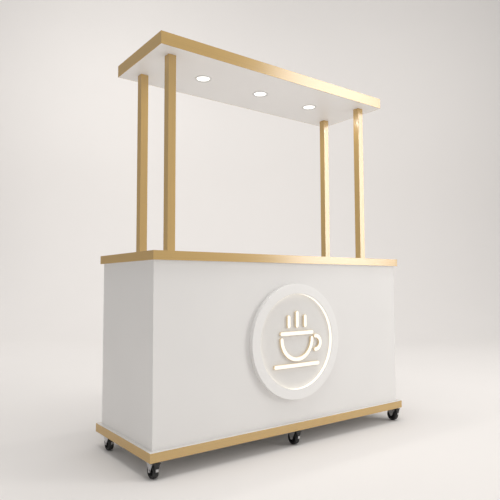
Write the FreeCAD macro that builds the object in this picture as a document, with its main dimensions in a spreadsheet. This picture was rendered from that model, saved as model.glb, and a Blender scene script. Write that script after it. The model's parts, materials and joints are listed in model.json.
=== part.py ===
import FreeCAD, Part
import math
import os

import Sketcher

Vector = FreeCAD.Vector
doc = FreeCAD.newDocument("kiosk_cart")

# Driving dimensions in millimetres, as name, value and meaning
SIZES = [
    ("body_length", 1800, "cabinet, left to right"),
    ("body_depth", 633, "cabinet, front to back"),
    ("body_height", 903, "cabinet walls"),
    ("panel_thickness", 18, "cabinet boards"),
    ("base_ledge_x", 24, "plinth past the cabinet's end, edge band included"),
    ("base_ledge_y", 28.5, "plinth past the cabinet's front, edge band included"),
    ("base_thickness", 45, "plinth, frame and deck together"),
    ("deck_thickness", 15, "board on the base frame"),
    ("counter_overhang_x", 13.5, "countertop past the cabinet's end, edge band included"),
    ("counter_overhang_y", 23.5, "countertop past the cabinet's front, edge band included"),
    ("counter_thickness", 46, "countertop"),
    ("canopy_reach_x", 110.5, "canopy's end from the post centres, edge band included"),
    ("canopy_reach_y", 108, "canopy's front from the post centres, edge band included"),
    ("canopy_thickness", 67, "canopy"),
    ("soffit_thickness", 9, "board under the canopy"),
    ("roof_thickness", 9, "board on top of the canopy"),
    ("band_thickness", 3, "metal edge bands"),
    ("post_height", 1056.5, "counter to canopy"),
    ("post_size", 46, "square post, across"),
    ("post_wall", 2, "post wall"),
    ("post_corner", 1.5, "outer corner radius of a post"),
    ("post_inset_x", 162.5, "post centres from the cabinet's ends"),
    ("post_inset_y", 149, "post centres from the cabinet's front and back"),
    ("plug_clearance", 0.1, "post plug inside its post, each side"),
    ("plug_height", 50, "post plug"),
    ("stud_radius", 6, "stud of a post plug"),
    ("stud_clearance", 0.5, "round a stud"),
    ("stud_nut_across", 19, "nut on a stud, across its flats"),
    ("stud_nut_height", 10, "nut on a stud"),
    ("tube_wall", 2, "walls of the frame tubes"),
    ("base_rail_width", 30, "long tubes of the base frame"),
    ("caster_member_width", 70, "cross tubes over the casters"),
    ("canopy_rail_width", 40, "long tubes of the canopy frame"),
    ("canopy_post_member", 60, "cross tubes over the posts"),
    ("canopy_mid_member", 30, "cross tubes between the lights"),
    ("rail_height", 110, "stretcher at the open back"),
    ("shelf_level", 440, "shelf underside above the deck"),
    ("shelf_thickness", 18, "shelf"),
    ("shelf_depth", 560, "shelf, front to back"),
    ("shelf_clearance", 1, "shelf to board, each end"),
    ("peg_radius", 2.5, "shelf peg"),
    ("peg_depth", 8, "shelf peg inside its board"),
    ("peg_reach", 9, "shelf peg under its shelf"),
    ("peg_inset", 60, "peg from the shelf's edge"),
    ("sign_radius", 328, "round sign"),
    ("sign_thickness", 28, "sign, proud of the front panel"),
    ("sign_rise", 6, "sign centre above the cabinet's middle"),
    ("sign_recess_radius", 275, "recess in the sign"),
    ("sign_recess_depth", 20, "recess in the sign"),
    ("light_ring_thickness", 4, "diffuser round the recess"),
    ("light_ring_setback", 1.5, "diffuser behind the rim"),
    ("light_pitch", 429, "downlight centres"),
    ("lens_radius", 42.5, "lit part of a downlight"),
    ("lens_thickness", 2.5, "downlight lens"),
    ("lens_seat", 2, "ledge that carries the lens"),
    ("lens_recess", 4, "lens above the flange's face"),
    ("flange_radius", 51, "downlight flange"),
    ("flange_height", 3, "downlight flange below the soffit"),
    ("flange_edge", 1.5, "downlight flange at its rim"),
    ("can_radius", 47, "downlight can"),
    ("can_height", 32, "downlight can above the soffit's face"),
    ("can_wall", 2, "downlight can"),
    ("can_clearance", 1, "round a can in the soffit"),
    ("driver_length", 150, "lighting driver"),
    ("driver_height", 34, "lighting driver"),
    ("driver_depth", 30, "lighting driver"),
    ("driver_tab", 14, "fixing tab at each end of the driver"),
    ("driver_tab_thickness", 2, "fixing tab"),
    ("driver_pitch", 310, "driver centre from the inlet's"),
    ("inlet_inset", 260, "power inlet centre from the cabinet's end"),
    ("inlet_width", 48, "inlet flange"),
    ("inlet_height", 68, "inlet flange"),
    ("inlet_flange", 3, "inlet flange thickness"),
    ("inlet_corner", 4, "inlet flange corner radius"),
    ("inlet_body_width", 30, "inlet body through the stretcher"),
    ("inlet_body_height", 54, "inlet body through the stretcher"),
    ("inlet_body_depth", 30, "inlet body behind its flange"),
    ("socket_width", 24, "inlet socket"),
    ("socket_height", 16.5, "inlet socket"),
    ("socket_depth", 17, "inlet socket"),
    ("socket_drop", 13, "socket centre below the inlet's centre"),
    ("pin_width", 2, "inlet contact pin"),
    ("pin_height", 4, "inlet contact pin"),
    ("pin_length", 11, "inlet contact pin"),
    ("pin_pitch", 7, "outer contact pins from the middle one"),
    ("pin_offset", 4, "middle pin above the outer two"),
    ("rocker_rise", 13.5, "rocker centre above the inlet's centre"),
    ("rocker_radius", 9.5, "rocker"),
    ("rocker_width", 13, "rocker"),
    ("rocker_clearance", 0.3, "round the rocker"),
    ("rocker_proud", 1.6, "rocker face outside the flange, at its middle"),
    ("rocker_end_proud", 2.8, "rocker face outside the flange, at its ends"),
    ("rocker_depth", 1, "rocker axis behind the flange's face"),
    ("caster_height", 85.5, "floor to the underside of the plinth"),
    ("mount_rise", 6, "base frame above the lower edge of the plinth"),
    ("caster_inset", 75, "swivel axes from the plinth's front and back"),
    ("trail", 28, "wheel axis from the swivel axis"),
    ("wheel_diameter", 75, "caster wheel"),
    ("tyre_width", 28, "caster tyre"),
    ("tyre_bore_radius", 27, "tyre on its hub"),
    ("tread_drop", 4, "crown of the tread, middle to shoulder"),
    ("hub_rim_width", 26, "hub under the tyre"),
    ("hub_rim_thickness", 3, "hub under the tyre"),
    ("hub_web", 7, "hub disc"),
    ("hub_boss_radius", 8, "hub round its axle"),
    ("running_clearance", 0.05, "shaft in its bore, on radius"),
    ("side_clearance", 0.3, "between faces that turn past each other"),
    ("axle_radius", 4, "wheel axle"),
    ("axle_head_across", 13, "axle head and nut, across flats"),
    ("axle_head_height", 4, "axle head and nut"),
    ("fork_inner", 33, "between the fork's legs"),
    ("fork_wall", 2.5, "fork plate"),
    ("fork_boss", 9, "fork end round the axle"),
    ("fork_front", 55, "fork top ahead of the swivel axis"),
    ("fork_rear", 8, "fork top behind the swivel axis"),
    ("fork_front_drop", 13, "upright edge of the leg, front"),
    ("fork_rear_drop", 3, "upright edge of the leg, rear"),
    ("crown_radius", 23, "round crown of the fork"),
    ("plate_length", 84, "caster plate, front to back"),
    ("plate_width", 60, "caster plate, left to right"),
    ("plate_thickness", 2.5, "caster plate"),
    ("raceway_radius", 23, "ball race under the plate"),
    ("raceway_depth", 4.5, "ball race under the plate"),
    ("kingpin_radius", 6, "rivet that the fork turns on"),
    ("kingpin_head_radius", 9, "rivet head"),
    ("kingpin_head_height", 2.5, "rivet head"),
    ("pivot_offset", 49, "pedal pivot ahead of the swivel axis"),
    ("pivot_level", 75, "pedal pivot above the floor"),
    ("pivot_radius", 2.5, "pedal pivot pin"),
    ("pivot_end", 1, "pivot pin outside the fork, each side"),
    ("pedal_boss", 4.5, "pedal round its pivot"),
    ("pedal_width", 29, "pedal between the fork's legs"),
    ("pedal_tip_width", 38, "foot plate of the pedal"),
    ("pedal_reach", 75, "pedal tip ahead of the swivel axis"),
    ("pedal_tip_length", 17, "foot plate of the pedal"),
    ("pedal_top", 79.5, "foot plate above the floor, at its root"),
    ("pedal_tip_top", 81.5, "foot plate above the floor, at its tip"),
    ("pedal_tip_height", 4, "pedal tip, top to bottom"),
    ("pedal_root_height", 7.5, "foot plate at its root, top to bottom"),
    ("apron_top_width", 34, "apron under the foot plate, at its top"),
    ("apron_foot_width", 18, "apron at its foot"),
    ("apron_thickness", 3, "apron"),
    ("apron_foot", 52, "apron's foot above the floor"),
    ("tongue_foot", 41, "brake tongue's foot above the floor"),
    ("tongue_length", 13, "brake tongue, top to bottom"),
    ("tongue_width", 14, "brake tongue"),
    ("tongue_thickness", 1.5, "brake tongue"),
    ("tongue_inset", 1, "brake tongue behind the pedal's tip"),
    ("overrun", 5, "how far a cut runs past what it cuts"),
]


class Size:
    """A length together with the sheet expression that gives it."""

    def __init__(self, value, text):
        self.value = value
        self.text = text

    @staticmethod
    def of(other):
        """A plain factor or a zero, written as a size."""
        if isinstance(other, Size):
            return other
        return Size(other, f"{other}")

    def __add__(self, other):
        other = Size.of(other)
        return Size(self.value + other.value, f"({self.text} + {other.text})")

    def __sub__(self, other):
        other = Size.of(other)
        return Size(self.value - other.value, f"({self.text} - {other.text})")

    def __mul__(self, factor):
        factor = Size.of(factor)
        return Size(self.value * factor.value, f"({self.text} * {factor.text})")

    def __truediv__(self, factor):
        factor = Size.of(factor)
        return Size(self.value / factor.value, f"({self.text} / {factor.text})")

    def __neg__(self):
        return Size(-self.value, f"(0 - {self.text})")


def write_sheet():
    """Puts the driving dimensions in the sheet and returns them by name."""
    sheet = doc.addObject("Spreadsheet::Sheet", "sizes")
    named = {}
    for row, (alias, value, meaning) in enumerate(SIZES, start=1):
        sheet.set(f"A{row}", alias)
        sheet.set(f"B{row}", str(value))
        sheet.set(f"C{row}", meaning)
        sheet.setAlias(f"B{row}", alias)
        named[alias] = Size(value, f"sizes.{alias}")
    doc.recompute()
    return named


size = write_sheet()
ZERO = Size(0, "0")
subparts = []


def keep(solid, node):
    """Names a finished sub-part; its label is the name of its file."""
    solid.Label = node
    subparts.append(solid)
    return solid


def bind(thing, prop, length):
    """Ties a property to the sheet."""
    thing.setExpression(prop, length.text)


def place(thing, x=ZERO, y=ZERO, z=ZERO):
    """Ties the place of an object to the sheet."""
    for axis, length in (("x", x), ("y", y), ("z", z)):
        bind(thing, f"Placement.Base.{axis}", length)
    return thing


def turn(thing, axis, angle):
    """Turns an object about its own origin."""
    thing.Placement = FreeCAD.Placement(Vector(0, 0, 0), FreeCAD.Rotation(axis, angle))
    return thing


X_AXIS = Vector(1, 0, 0)
Y_AXIS = Vector(0, 1, 0)
Z_AXIS = Vector(0, 0, 1)
TO_X = (Y_AXIS, 90)
TO_FRONT = (X_AXIS, 90)
# Local Z points to the back and local Y stays up
FACING_BACK = FreeCAD.Rotation(-X_AXIS, Z_AXIS, Y_AXIS, "ZYX")


def block(name, low, high):
    """Box between two corners."""
    box = doc.addObject("Part::Box", name)
    for prop, start, end in zip(("Length", "Width", "Height"), low, high):
        bind(box, prop, end - start)
    return place(box, *low)


def rod(name, radius, length, start, along=None):
    """Round bar from a start point, upright or turned to lie along another axis."""
    bar = doc.addObject("Part::Cylinder", name)
    bind(bar, "Radius", radius)
    bind(bar, "Height", length)
    if along:
        turn(bar, *along)
    return place(bar, *start)


def hexagon(name, across_flats, length, start, along=None):
    """Hexagonal head or nut."""
    prism = doc.addObject("Part::Prism", name)
    prism.Polygon = 6
    bind(prism, "Circumradius", across_flats / math.sqrt(3))
    bind(prism, "Height", length)
    if along:
        turn(prism, *along)
    return place(prism, *start)


def fuse(name, members):
    """One solid from members that touch or overlap."""
    whole = doc.addObject("Part::MultiFuse", name)
    whole.Shapes = members
    whole.Refine = True
    return whole


def cut(name, base, tools):
    """A solid less all the tools."""
    tool = tools[0] if len(tools) == 1 else group(name + "_tools", tools)
    piece = doc.addObject("Part::Cut", name)
    piece.Base = base
    piece.Tool = tool
    return piece


def group(name, members):
    """Separate solids that share a node."""
    together = doc.addObject("Part::Compound", name)
    together.Links = members
    return together


def new_body(name):
    """Empty body for sketched features."""
    return doc.addObject("PartDesign::Body", name)


def sketch_on(body, role, name, lift=None):
    """Sketch on one of the body's own planes, or lifted off it."""
    plane = next(f for f in body.Origin.OriginFeatures if f.Role == role)
    sketch = body.newObject("Sketcher::SketchObject", f"{body.Name}_{name}")
    sketch.AttachmentSupport = [(plane, "")]
    sketch.MapMode = "FlatFace"
    if lift is not None:
        bind(sketch, "AttachmentOffset.Base.z", lift)
    return sketch


def fix_point(sketch, geometry, end, point):
    """Ties one point of a sketch to the sheet."""
    for kind, length in zip(("DistanceX", "DistanceY"), point):
        number = sketch.addConstraint(
            Sketcher.Constraint(kind, -1, 1, geometry, end, length.value)
        )
        bind(sketch, f"Constraints[{number}]", length)


def draw_corners(sketch, corners):
    """Closed outline of straight edges through the corners."""
    first = sketch.GeometryCount
    count = len(corners)
    for index in range(count):
        (u, v), (u_next, v_next) = corners[index], corners[(index + 1) % count]
        line = Part.LineSegment(
            Vector(u.value, v.value, 0), Vector(u_next.value, v_next.value, 0)
        )
        sketch.addGeometry(line)
    for index in range(count):
        following = first + (index + 1) % count
        sketch.addConstraint(
            Sketcher.Constraint("Coincident", first + index, 2, following, 1)
        )
        fix_point(sketch, first + index, 1, corners[index])


def draw_rectangle(sketch, low, high):
    """Rectangle between two corners."""
    (left, bottom), (right, top) = low, high
    draw_corners(sketch, [(left, bottom), (right, bottom), (right, top), (left, top)])


def draw_circle(sketch, centre, radius):
    """Circle about a centre."""
    geometry = sketch.addGeometry(
        Part.Circle(Vector(centre[0].value, centre[1].value, 0), Vector(0, 0, 1), radius.value)
    )
    fix_point(sketch, geometry, 3, centre)
    number = sketch.addConstraint(Sketcher.Constraint("Radius", geometry, radius.value))
    bind(sketch, f"Constraints[{number}]", radius)


def pad(body, sketch, length, both_ways=False):
    """Material from a sketch."""
    feature = body.newObject("PartDesign::Pad", f"{sketch.Name}_pad")
    feature.Profile = sketch
    feature.SideType = "Symmetric" if both_ways else "One side"
    bind(feature, "Length", length)
    return feature


def pocket(body, sketch, length):
    """Cut from a sketch, half of its length to each side."""
    feature = body.newObject("PartDesign::Pocket", f"{sketch.Name}_cut")
    feature.Profile = sketch
    feature.SideType = "Symmetric"
    bind(feature, "Length", length)
    return feature


def spin(body, sketch, axis):
    """Full turn of a sketch about one of its own axes."""
    feature = body.newObject("PartDesign::Revolution", f"{sketch.Name}_turned")
    feature.Profile = sketch
    feature.ReferenceAxis = (sketch, [axis])
    feature.Angle = 360
    return feature


def round_edges(body, feature, radius, chosen):
    """Fillet on the edges that the test picks."""
    doc.recompute()
    edges = feature.Shape.Edges
    names = [f"Edge{i}" for i, edge in enumerate(edges, start=1) if chosen(edge)]
    fillet = body.newObject("PartDesign::Fillet", f"{feature.Name}_round")
    fillet.Base = (feature, names)
    bind(fillet, "Radius", radius)
    return fillet


def is_upright(edge):
    """True for a straight edge along Z."""
    first, last = edge.Vertexes[0].Point, edge.Vertexes[-1].Point
    return first.distanceToLine(last, Vector(0, 0, 1)) < first.distanceToPoint(last) * 0.01


# Outer sizes of the tiers, over their edge bands, with the post centres
post_x = size["body_length"] / 2 - size["post_inset_x"]
post_y = size["body_depth"] / 2 - size["post_inset_y"]
base_length = size["body_length"] + size["base_ledge_x"] * 2
base_depth = size["body_depth"] + size["base_ledge_y"] * 2
counter_length = size["body_length"] + size["counter_overhang_x"] * 2
counter_depth = size["body_depth"] + size["counter_overhang_y"] * 2
canopy_length = (post_x + size["canopy_reach_x"]) * 2
canopy_depth = (post_y + size["canopy_reach_y"]) * 2

# Levels of the tiers above the floor
base_bottom = size["caster_height"]
mount_level = base_bottom + size["mount_rise"]
base_top = base_bottom + size["base_thickness"]
deck_bottom = base_top - size["deck_thickness"]
counter_bottom = base_top + size["body_height"]
counter_top = counter_bottom + size["counter_thickness"]
canopy_bottom = counter_top + size["post_height"]
canopy_top = canopy_bottom + size["canopy_thickness"]
inlet_level = counter_bottom - size["rail_height"] / 2

# Faces of the cabinet
side_outer = size["body_length"] / 2
side_inner = side_outer - size["panel_thickness"]
front_outer = -(size["body_depth"] / 2)
front_inner = front_outer + size["panel_thickness"]
back_outer = size["body_depth"] / 2
back_inner = back_outer - size["panel_thickness"]
divider_half = size["panel_thickness"] / 2
inlet_x = side_outer - size["inlet_inset"]

# Places of what repeats
caster_x = base_length / 2 - size["band_thickness"] - size["caster_member_width"] / 2
caster_y = base_depth / 2 - size["caster_inset"]
caster_places = {
    "front_left": (-caster_x, -caster_y),
    "front_middle": (ZERO, -caster_y),
    "front_right": (caster_x, -caster_y),
    "back_left": (-caster_x, caster_y),
    "back_middle": (ZERO, caster_y),
    "back_right": (caster_x, caster_y),
}
post_places = {
    "front_left": (-post_x, -post_y),
    "front_right": (post_x, -post_y),
    "back_left": (-post_x, post_y),
    "back_right": (post_x, post_y),
}
light_places = {"left": -size["light_pitch"], "middle": ZERO, "right": size["light_pitch"]}


def edge_band(node, length, depth, low, high):
    """Four mitred strips round a board, each a solid of its own."""
    x, y = length / 2, depth / 2
    inner_x, inner_y = x - size["band_thickness"], y - size["band_thickness"]
    outlines = {
        "front": [(-x, -y), (x, -y), (inner_x, -inner_y), (-inner_x, -inner_y)],
        "right": [(x, -y), (x, y), (inner_x, inner_y), (inner_x, -inner_y)],
        "back": [(x, y), (-x, y), (-inner_x, inner_y), (inner_x, inner_y)],
        "left": [(-x, y), (-x, -y), (-inner_x, -inner_y), (-inner_x, inner_y)],
    }
    strips = []
    for side, corners in outlines.items():
        strip = new_body(f"{node}_{side}")
        sketch = sketch_on(strip, "XY_Plane", "outline")
        draw_corners(sketch, corners)
        pad(strip, sketch, high - low)
        strips.append(place(strip, z=low))
    keep(group(node + "_strips", strips), node)


def board_in_band(name, length, depth, low, high):
    """Board that fills an edge band."""
    x = length / 2 - size["band_thickness"]
    y = depth / 2 - size["band_thickness"]
    return block(name, (-x, -y, low), (x, y, high))


def tube(name, low, high, run):
    """Square tube; run is 0 along X and 1 along Y."""
    wall = size["tube_wall"]
    inner_low = [low[i] if i == run else low[i] + wall for i in range(3)]
    inner_high = [high[i] if i == run else high[i] - wall for i in range(3)]
    outer = block(name + "_outer", low, high)
    return cut(name, outer, [block(name + "_bore", inner_low, inner_high)])


def ladder(name, length, depth, rail_width, members, low, high):
    """Welded frame: two long rails with cross tubes between them."""
    x = length / 2 - size["band_thickness"]
    y = depth / 2 - size["band_thickness"]
    inner_y = y - rail_width
    tubes = [
        tube(name + "_front_rail", (-x, -y, low), (x, -inner_y, high), 0),
        tube(name + "_back_rail", (-x, inner_y, low), (x, y, high), 0),
    ]
    for index, (centre, width) in enumerate(members):
        left, right = centre - width / 2, centre + width / 2
        tubes.append(
            tube(f"{name}_member_{index}", (left, -inner_y, low), (right, inner_y, high), 1)
        )
    return fuse(name, tubes)


def base():
    """Plinth: welded frame, deck board and edge band."""
    width = size["caster_member_width"]
    frame = ladder(
        "base_ladder",
        base_length,
        base_depth,
        size["base_rail_width"],
        [(-caster_x, width), (ZERO, width), (caster_x, width)],
        mount_level,
        deck_bottom,
    )
    keep(frame, "base_frame")
    keep(board_in_band("deck", base_length, base_depth, deck_bottom, base_top), "base_deck")
    edge_band("base_edge_trim", base_length, base_depth, base_bottom, base_top)


def wall_board(node, corners):
    """Upright board of the cabinet from its outline seen from above."""
    board = new_body(node + "_board")
    sketch = sketch_on(board, "XY_Plane", "outline")
    draw_corners(sketch, corners)
    pad(board, sketch, size["body_height"])
    return place(board, z=base_top)


def shelf_peg_places(side):
    """Pegs of one shelf: where each leaves its board, and which way it points."""
    front = front_inner + size["peg_inset"]
    back = front_inner + size["shelf_depth"] - size["peg_inset"]
    level = base_top + size["shelf_level"] - size["peg_radius"]
    return [
        (wall, y, level, way)
        for wall, way in ((side_inner * side, -side), (divider_half * side, side))
        for y in (front, back)
    ]


def peg_holes(name, wall):
    """Blind holes for the pegs in one wall; wall is -1, 0 or 1."""
    holes = []
    for side in (-1, 1):
        for index, (x, y, z, way) in enumerate(shelf_peg_places(side)):
            on_divider = way == side
            if on_divider == (wall == 0) and (on_divider or side == wall):
                start = x - size["peg_depth"] if way > 0 else x
                hole_name = f"{name}_hole_{side + 1}_{index}"
                holes.append(rod(hole_name, size["peg_radius"], size["peg_depth"], (start, y, z), TO_X))
    return holes


def cabinet():
    """Walls of the cabinet, mitred at the front corners and open at the back."""
    x, y = side_outer, front_outer
    corners = [(-x, y), (x, y), (side_inner, front_inner), (-side_inner, front_inner)]
    keep(wall_board("front_panel", corners), "front_panel")
    for node, side in (("left_end_panel", -1), ("right_end_panel", 1)):
        outer, inner = x * side, side_inner * side
        corners = [(outer, y), (outer, back_outer), (inner, back_outer), (inner, front_inner)]
        board = wall_board(node, corners)
        keep(cut(node + "_drilled", board, peg_holes(node, side)), node)
    divider = block(
        "divider_board",
        (-divider_half, front_inner, base_top),
        (divider_half, back_inner, counter_bottom),
    )
    keep(cut("divider_drilled", divider, peg_holes("divider", 0)), "centre_divider")

    rail_low = counter_bottom - size["rail_height"]
    rail = block(
        "rail_board",
        (-side_inner, back_inner, rail_low),
        (side_inner, back_outer, counter_bottom),
    )
    half_width, half_height = size["inlet_body_width"] / 2, size["inlet_body_height"] / 2
    window = block(
        "rail_window",
        (inlet_x - half_width, back_inner - size["overrun"], inlet_level - half_height),
        (inlet_x + half_width, back_outer + size["overrun"], inlet_level + half_height),
    )
    keep(cut("rail_cut", rail, [window]), "back_rail")


def shelves():
    """A shelf in each bay, on four pegs."""
    low = base_top + size["shelf_level"]
    high = low + size["shelf_thickness"]
    outer = side_inner - size["shelf_clearance"]
    inner = divider_half + size["shelf_clearance"]
    back = front_inner + size["shelf_depth"]
    boards = [
        block("shelf_left", (-outer, front_inner, low), (-inner, back, high)),
        block("shelf_right", (inner, front_inner, low), (outer, back, high)),
    ]
    keep(group("shelf_boards", boards), "shelves")

    pegs = []
    length = size["peg_depth"] + size["peg_reach"]
    for side in (-1, 1):
        for index, (x, y, z, way) in enumerate(shelf_peg_places(side)):
            start = x - size["peg_depth"] if way > 0 else x - size["peg_reach"]
            pegs.append(rod(f"peg_{side + 1}_{index}", size["peg_radius"], length, (start, y, z), TO_X))
    keep(group("shelf_peg_set", pegs), "shelf_pegs")


def stud_holes(name, low, high):
    """Clearance holes for the post studs between two levels."""
    radius = size["stud_radius"] + size["stud_clearance"]
    return [
        rod(f"{name}_{place_name}", radius, high - low, (x, y, low))
        for place_name, (x, y) in post_places.items()
    ]


def countertop():
    """Counter slab and its edge band."""
    slab = board_in_band("counter_slab", counter_length, counter_depth, counter_bottom, counter_top)
    over = size["overrun"]
    holes = stud_holes("counter_hole", counter_bottom - over, counter_top + over)
    keep(cut("counter_drilled", slab, holes), "countertop")
    edge_band("counter_edge_trim", counter_length, counter_depth, counter_bottom, counter_top)


def post(node, x, y):
    """Square hollow post with slightly rounded corners."""
    half = size["post_size"] / 2
    inner = half - size["post_wall"]
    body = new_body(node + "_tube")
    outline = sketch_on(body, "XY_Plane", "outline")
    draw_rectangle(outline, (-half, -half), (half, half))
    bar = pad(body, outline, size["post_height"])
    round_edges(body, bar, size["post_corner"], is_upright)
    bore = sketch_on(body, "XY_Plane", "bore")
    draw_rectangle(bore, (-inner, -inner), (inner, inner))
    pocket(body, bore, size["post_height"] * 4)
    keep(place(body, x, y, counter_top), node)


def post_plug(name, x, y, end, way, grip):
    """Block in a post's end with a stud and nut; grip is what the stud passes through."""
    half = size["post_size"] / 2 - size["post_wall"] - size["plug_clearance"]
    reach = grip + size["stud_nut_height"]
    if way > 0:
        block_low, stud_low, nut_low = end, end - reach, end - reach
        block_high = end + size["plug_height"]
    else:
        block_low, stud_low, nut_low = end - size["plug_height"], end, end + grip
        block_high = end
    core = block(name + "_core", (x - half, y - half, block_low), (x + half, y + half, block_high))
    stud = rod(name + "_stud", size["stud_radius"], reach, (x, y, stud_low))
    nut = hexagon(name + "_nut", size["stud_nut_across"], size["stud_nut_height"], (x, y, nut_low))
    return fuse(name, [core, stud, nut])


def posts():
    """Four posts, and the plugs that hold them to the counter and the canopy."""
    plugs = []
    for place_name, (x, y) in post_places.items():
        post("post_" + place_name, x, y)
        foot_grip = size["counter_thickness"]
        head_grip = size["soffit_thickness"] + size["tube_wall"]
        plugs.append(post_plug(f"foot_{place_name}", x, y, counter_top, 1, foot_grip))
        plugs.append(post_plug(f"head_{place_name}", x, y, canopy_bottom, -1, head_grip))
    keep(group("post_plug_set", plugs), "post_plugs")


def canopy():
    """Canopy: tube frame between soffit and roof boards, with its edge band."""
    frame_low = canopy_bottom + size["soffit_thickness"]
    frame_high = canopy_top - size["roof_thickness"]
    over = size["overrun"]
    end_x = canopy_length / 2 - size["band_thickness"] - size["canopy_rail_width"] / 2
    mid_x = size["light_pitch"] / 2
    members = []
    for side in (-1, 1):
        members.append((end_x * side, size["canopy_rail_width"]))
        members.append((post_x * side, size["canopy_post_member"]))
        members.append((mid_x * side, size["canopy_mid_member"]))
    frame = ladder(
        "canopy_ladder",
        canopy_length,
        canopy_depth,
        size["canopy_rail_width"],
        members,
        frame_low,
        frame_high,
    )
    holes = stud_holes("canopy_hole", frame_low - over, frame_low + size["tube_wall"] + over)
    keep(cut("canopy_ladder_drilled", frame, holes), "canopy_frame")

    soffit = board_in_band("soffit_board", canopy_length, canopy_depth, canopy_bottom, frame_low)
    openings = stud_holes("soffit_hole", canopy_bottom - over, frame_low + over)
    for name, x in light_places.items():
        radius = size["can_radius"] + size["can_clearance"]
        through = size["soffit_thickness"] + over * 2
        openings.append(rod(f"light_hole_{name}", radius, through, (x, ZERO, canopy_bottom - over)))
    keep(cut("soffit_cut", soffit, openings), "soffit_panel")
    roof = board_in_band("roof_board", canopy_length, canopy_depth, frame_high, canopy_top)
    keep(roof, "roof_panel")
    edge_band("canopy_edge_trim", canopy_length, canopy_depth, canopy_bottom, canopy_top)


def downlight_housing(name, x):
    """Turned flange and can; the lens rests on the ledge inside."""
    lens = size["lens_radius"]
    seat = size["lens_recess"] - size["flange_height"]
    bore = lens + size["lens_seat"]
    profile = [
        (lens, -size["flange_height"]),
        (size["flange_radius"] - size["flange_edge"], -size["flange_height"]),
        (size["flange_radius"], -size["flange_edge"]),
        (size["flange_radius"], ZERO),
        (size["can_radius"], ZERO),
        (size["can_radius"], size["can_height"]),
        (ZERO, size["can_height"]),
        (ZERO, size["can_height"] - size["can_wall"]),
        (bore, size["can_height"] - size["can_wall"]),
        (bore, seat),
        (lens, seat),
    ]
    body = new_body("downlight_" + name)
    sketch = sketch_on(body, "XZ_Plane", "profile")
    draw_corners(sketch, profile)
    spin(body, sketch, "V_Axis")
    return place(body, x, ZERO, canopy_bottom)


def downlights():
    """Three recessed lights in the soffit."""
    seat = canopy_bottom + size["lens_recess"] - size["flange_height"]
    housings = [downlight_housing(name, x) for name, x in light_places.items()]
    lens_radius = size["lens_radius"] + size["lens_seat"]
    lenses = [
        rod(f"lens_{name}", lens_radius, size["lens_thickness"], (x, ZERO, seat))
        for name, x in light_places.items()
    ]
    keep(group("downlight_set", housings), "downlight_housings")
    keep(group("lens_set", lenses), "downlight_lenses")


def sign():
    """Round dished sign on the front panel, with a lit ring round its recess."""
    radius, recess = size["sign_radius"], size["sign_recess_radius"]
    floor = size["sign_thickness"] - size["sign_recess_depth"]
    level = base_top + size["body_height"] / 2 + size["sign_rise"]
    dish = new_body("sign_dish")
    sketch = sketch_on(dish, "XZ_Plane", "profile")
    profile = [
        (ZERO, ZERO),
        (radius, ZERO),
        (radius, size["sign_thickness"]),
        (recess, size["sign_thickness"]),
        (recess, floor),
        (ZERO, floor),
    ]
    draw_corners(sketch, profile)
    spin(dish, sketch, "V_Axis")
    turn(dish, *TO_FRONT)
    keep(place(dish, ZERO, front_outer, level), "sign_housing")

    ring = new_body("sign_ring")
    sketch = sketch_on(ring, "XY_Plane", "outline")
    draw_circle(sketch, (ZERO, ZERO), recess)
    draw_circle(sketch, (ZERO, ZERO), recess - size["light_ring_thickness"])
    pad(ring, sketch, size["sign_recess_depth"] - size["light_ring_setback"])
    turn(ring, *TO_FRONT)
    keep(place(ring, ZERO, front_outer - floor, level), "sign_lights")


def light_driver():
    """Driver box of the lights, on the inner face of the stretcher."""
    half_length, half_height = size["driver_length"] / 2, size["driver_height"] / 2
    x = inlet_x - size["driver_pitch"]
    y_low = back_inner - size["driver_depth"]
    case = block(
        "driver_case",
        (x - half_length, y_low, inlet_level - half_height),
        (x + half_length, back_inner, inlet_level + half_height),
    )
    reach = half_length + size["driver_tab"]
    tabs = block(
        "driver_tabs",
        (x - reach, back_inner - size["driver_tab_thickness"], inlet_level - half_height),
        (x + reach, back_inner, inlet_level + half_height),
    )
    keep(fuse("driver_solid", [case, tabs]), "light_driver")


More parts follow.
